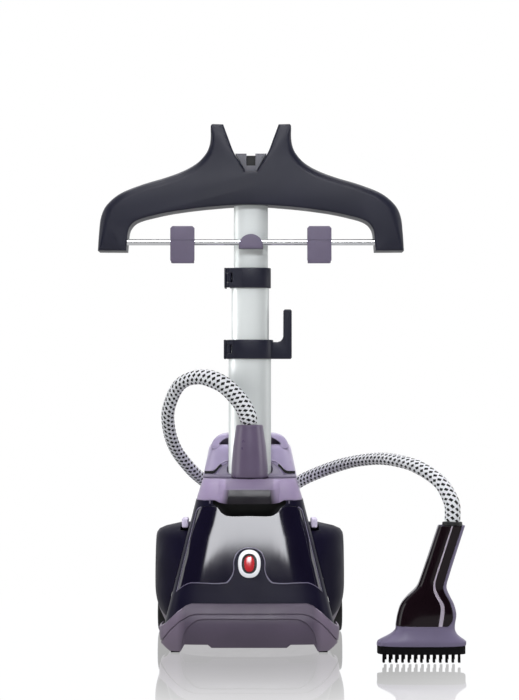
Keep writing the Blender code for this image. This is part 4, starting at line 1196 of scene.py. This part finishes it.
def cover_space(grow=0.0):
    front, seam = HANDSET_Y - 40, HANDSET_Y + grow
    left = [(150, 49 - grow), (222, 49 - grow), (222, 106), (262, 184), (150, 184)]
    return united(prism([rounded(cover_outline(grow), 50)], front, seam - 3), prism([left], front, seam + 2.5))


def handset_wall(outside=0.0, inside=2.4):
    hollow = body(moved_ends(handset_rows(inside), -5, 5), 3.2, smooth=2.0)
    return carve(body(handset_rows(outside), 3.2, smooth=2.0), hollow)


# Height and X of the highlight line painted down the cover, where a chamfer catches the light.
HIGHLIGHT_LINE = (
    *((48.8, 243.6), (60, 245.4), (71, 246.6), (78, 245.2), (86, 240.6)),
    *((93, 237.4), (100, 236.2), (107, 237.0), (130, 244.4), (176, 259.4)),
)

# Its half width at each height.
HIGHLIGHT_LINE_HALF = ((48.8, 2.5), (84, 2.3), (104, 1.1), (176, 0.9))


def make_handset():
    cover, shell = common(handset_wall(), cover_space()), carve(handset_wall(), cover_space(GAP))
    piece("handset_cover_skin", cover, COVER, "handset", ["handset_cover"])
    piece("handset_shell_skin", shell, LAVENDER_DEEP, "handset", ["handset_shell"])
    # Painted highlight: a silver strip down the cover, where a chamfer's highlight runs.
    line = spline_at(list(HIGHLIGHT_LINE), 2.0)
    outline = []
    for side in (-1, 1):
        edge = [(x + side * between(HIGHLIGHT_LINE_HALF, z), z) for z, x in line]
        outline += edge if side < 0 else edge[::-1]
    highlight_strip = common(handset_wall(-0.2, 1.2), prism([outline], HANDSET_Y - 40, HANDSET_Y - 6))
    piece("cover_highlight_strip", highlight_strip, SILVER_HIGHLIGHT, "handset")


def make_bristles():
    """Tufts of fine tapered filaments in two staggered rows."""
    for name, y, first, tufts in (("bristles_front", -14.5, 171.8, 13), ("bristles_rear", 14.5, 175.8, 12)):
        bm = bmesh.new()
        for tuft in range(tufts):
            x = first + tuft * 8.0
            for k in range(19):
                angle, reach = k * 2.39996, 1.5 * math.sqrt(k / 19)
                u, v = reach * math.cos(angle), reach * math.sin(angle)
                base = Vector((x + u, HANDSET_Y + y + v, 14.4))
                tip = Vector((x + u * 1.2, HANDSET_Y + y + v * 1.2, 2.6 + 0.6 * (k % 3)))
                size = dict(radius1=0.36, radius2=0.26, depth=(tip - base).length)
                made = bmesh.ops.create_cone(bm, cap_ends=True, segments=5, **size)
                turn = (tip - base).to_track_quat("Z", "Y").to_matrix().to_4x4()
                bmesh.ops.transform(bm, matrix=Matrix.Translation((base + tip) / 2) @ turn, verts=made["verts"])
        piece(f"{name}_tufts", new_mesh(bm), BRISTLE, "brush", [name])


# ---------------------------------------------------------------- studio


def softbox(name, at, to, size, power, colour=(1, 1, 1)):
    light = bpy.data.lights.new(name, "AREA")
    light.shape = "RECTANGLE"
    light.size, light.size_y = size
    light.energy = power
    light.color = colour
    obj = bpy.data.objects.new(name, light)
    bpy.context.scene.collection.objects.link(obj)
    obj.location = at
    obj.rotation_euler = (Vector(to) - Vector(at)).to_track_quat("-Z", "Y").to_euler()
    obj.visible_camera = False
    return light


def panel_light():
    """A wide softbox that dims towards its lower edge, which shapes its reflection in the panel."""
    light = softbox("panel_box", (-0.1, -2.355, 1.752), (-0.09, -0.06, 0.12), (2.0, 0.6), 42, (0.95, 0.96, 1.0))
    light.use_nodes = True
    shader = Shader.over(light)
    place = shader.place("ShaderNodeNewGeometry", "Parametric")
    across, up = place["X"], place["Y"]
    dimmed = shader.spread(up, 0.0, 1.0, 0.045, 0.094)
    sides = shader.math("MULTIPLY", shader.spread(across, 0, 1, 0.235, 0.275), shader.spread(across, 1, 0, 0.69, 0.72))
    fuller = shader.math("MULTIPLY", shader.spread(up, 0.0, 3.2, 0.35, 0.5), shader.spread(across, 0, 1, 0.42, 0.5))
    strength = shader.math("MULTIPLY", shader.math("MULTIPLY", dimmed, sides), shader.math("ADD", fuller, 1.0))
    shader.link(strength, shader.tree.nodes["Emission"].inputs["Strength"])


def pole_light():
    """A light from the left that falls on the pole alone, and shapes its round side."""
    softbox("pole_box", (-2.2, -0.9, 0.7), (0, 0, 0.35), (0.8, 1.4), 36)
    lit = bpy.data.collections.new("pole_only")
    for name in TUBES:
        lit.objects.link(bpy.data.objects[f"{name}_skin"])
    bpy.data.objects["pole_box"].light_linking.receiver_collection = lit


def make_world():
    """A white backdrop behind the object, and a room that darkens towards the front."""
    world = bpy.data.worlds.new("studio")
    bpy.context.scene.world = world
    world.use_nodes = True
    nodes, links = world.node_tree.nodes, world.node_tree.links
    output = nodes["World Output"]
    seen = nodes["Background"]
    seen.inputs["Color"].default_value = (1, 1, 1, 1)
    seen.inputs["Strength"].default_value = 1.0
    room = nodes.new("ShaderNodeBackground")
    room.inputs["Color"].default_value = (0.97, 0.98, 1.0, 1)
    place = nodes.new("ShaderNodeTexCoord")
    split = nodes.new("ShaderNodeSeparateXYZ")
    links.new(place.outputs["Generated"], split.inputs[0])
    depth = nodes.new("ShaderNodeMapRange")
    depth.interpolation_type = "SMOOTHSTEP"
    for key, value in (("From Min", -0.15), ("From Max", 0.6), ("To Min", 0.04), ("To Max", 1.03)):
        depth.inputs[key].default_value = value
    links.new(split.outputs["Y"], depth.inputs["Value"])
    links.new(depth.outputs["Result"], room.inputs["Strength"])
    path = nodes.new("ShaderNodeLightPath")
    mix = nodes.new("ShaderNodeMixShader")
    links.new(path.outputs["Is Camera Ray"], mix.inputs[0])
    links.new(room.outputs[0], mix.inputs[1])
    links.new(seen.outputs[0], mix.inputs[2])
    links.new(mix.outputs[0], output.inputs["Surface"])


FLOOR_GLOSS = 0.6
GLOSS_FULL_WITHIN = 0.2
GLOSS_GONE_BEYOND = 0.648


def make_floor():
    """A plain white floor whose gloss fades evenly with distance from the object, the same on every side."""
    mesh = bpy.data.meshes.new("floor")
    reach = 12.0
    corners = [(-reach, -reach, 0), (reach, -reach, 0), (reach, reach, 0), (-reach, reach, 0)]
    mesh.from_pydata(corners, [], [(0, 1, 2, 3)])
    floor = bpy.data.objects.new("floor", mesh)
    floor.location.z = -0.0003
    bpy.context.scene.collection.objects.link(floor)
    shader = Shader("floor_white")
    place = shader.place()
    across = shader.math("ADD", place["X"], -POLE_X * MM)
    along = place["Y"]
    squared = [shader.math("MULTIPLY", way, way) for way in (across, along)]
    distance = shader.math("ADD", *squared)
    share = shader.spread(distance, FLOOR_GLOSS, 0.0, GLOSS_FULL_WITHIN**2, GLOSS_GONE_BEYOND**2)
    white = shader.node("ShaderNodeEmission")
    dim = shader.node("ShaderNodeEmission")
    dim.inputs["Strength"].default_value = 0.65
    mirror = shader.node("ShaderNodeBsdfGlossy")
    mirror.inputs["Roughness"].default_value = 0.03
    mirror.inputs["Color"].default_value = (1, 1, 1, 1)
    near = shader.node("ShaderNodeMixShader")
    shader.link(share, near.inputs[0])
    shader.link(white.outputs[0], near.inputs[1])
    shader.link(mirror.outputs[0], near.inputs[2])
    path = shader.node("ShaderNodeLightPath")
    mix = shader.node("ShaderNodeMixShader")
    shader.link(path.outputs["Is Camera Ray"], mix.inputs[0])
    shader.link(dim.outputs[0], mix.inputs[1])
    shader.link(near.outputs[0], mix.inputs[2])
    shader.tree.nodes.remove(shader.out)
    shader.link(mix.outputs[0], shader.tree.nodes["Material Output"].inputs["Surface"])
    mesh.materials.append(shader.material)


def make_lights():
    panel_light()
    softbox("overhead", (-0.3, -1.1, 3.0), (0, 0, 0.35), (1.6, 1.0), 38)
    softbox("back_top", (0, 0.9, 2.6), (0, 0, 0.3), (2.2, 1.2), 22)
    pole_light()
    softbox("left_strip", (-2.6, -0.4, 0.8), (0, 0, 0.35), (1.2, 1.6), 14)
    softbox("right_strip", (2.6, -0.4, 0.8), (0, 0, 0.35), (1.2, 1.6), 16)


def finish_cad_nodes():
    for material, names in {
        STEEL: (
            *("tray_screw_left", "tray_screw_right", "lower_lever_pin", "upper_lever_pin"),
            *("rear_axle", "steam_pipe", "valve_spring"),
        ),
        BLACK: (
            *("switch_body", "cuff_seal", "tank_seat", "pole_socket"),
            *("cord_gland", "tank_cap", "middle_tube_bush", "hose_ferrule"),
        ),
        BRISTLE: ("brush_frame",),
        RUBBER: ("foot_pad_left", "foot_pad_right"),
        CAST: ("boiler", "boiler_lid", "steam_plate"),
        BRASS: ("thermostat",),
        WHITE: ("water_tube", "tank_valve"),
    }.items():
        for name in names:
            finish_node(name, material)


make_camera()
make_hose()
make_tray_and_housing()
make_front()
make_bumper()
make_cowl()
make_body_clips()
make_wheels()
make_tank()
make_tubes()
make_clamps()
make_hanger()
make_garment_clips()
make_handset()
make_bristles()
finish_cad_nodes()
make_world()
make_floor()
make_lights()
bpy.context.scene.view_settings.view_transform = "Standard"
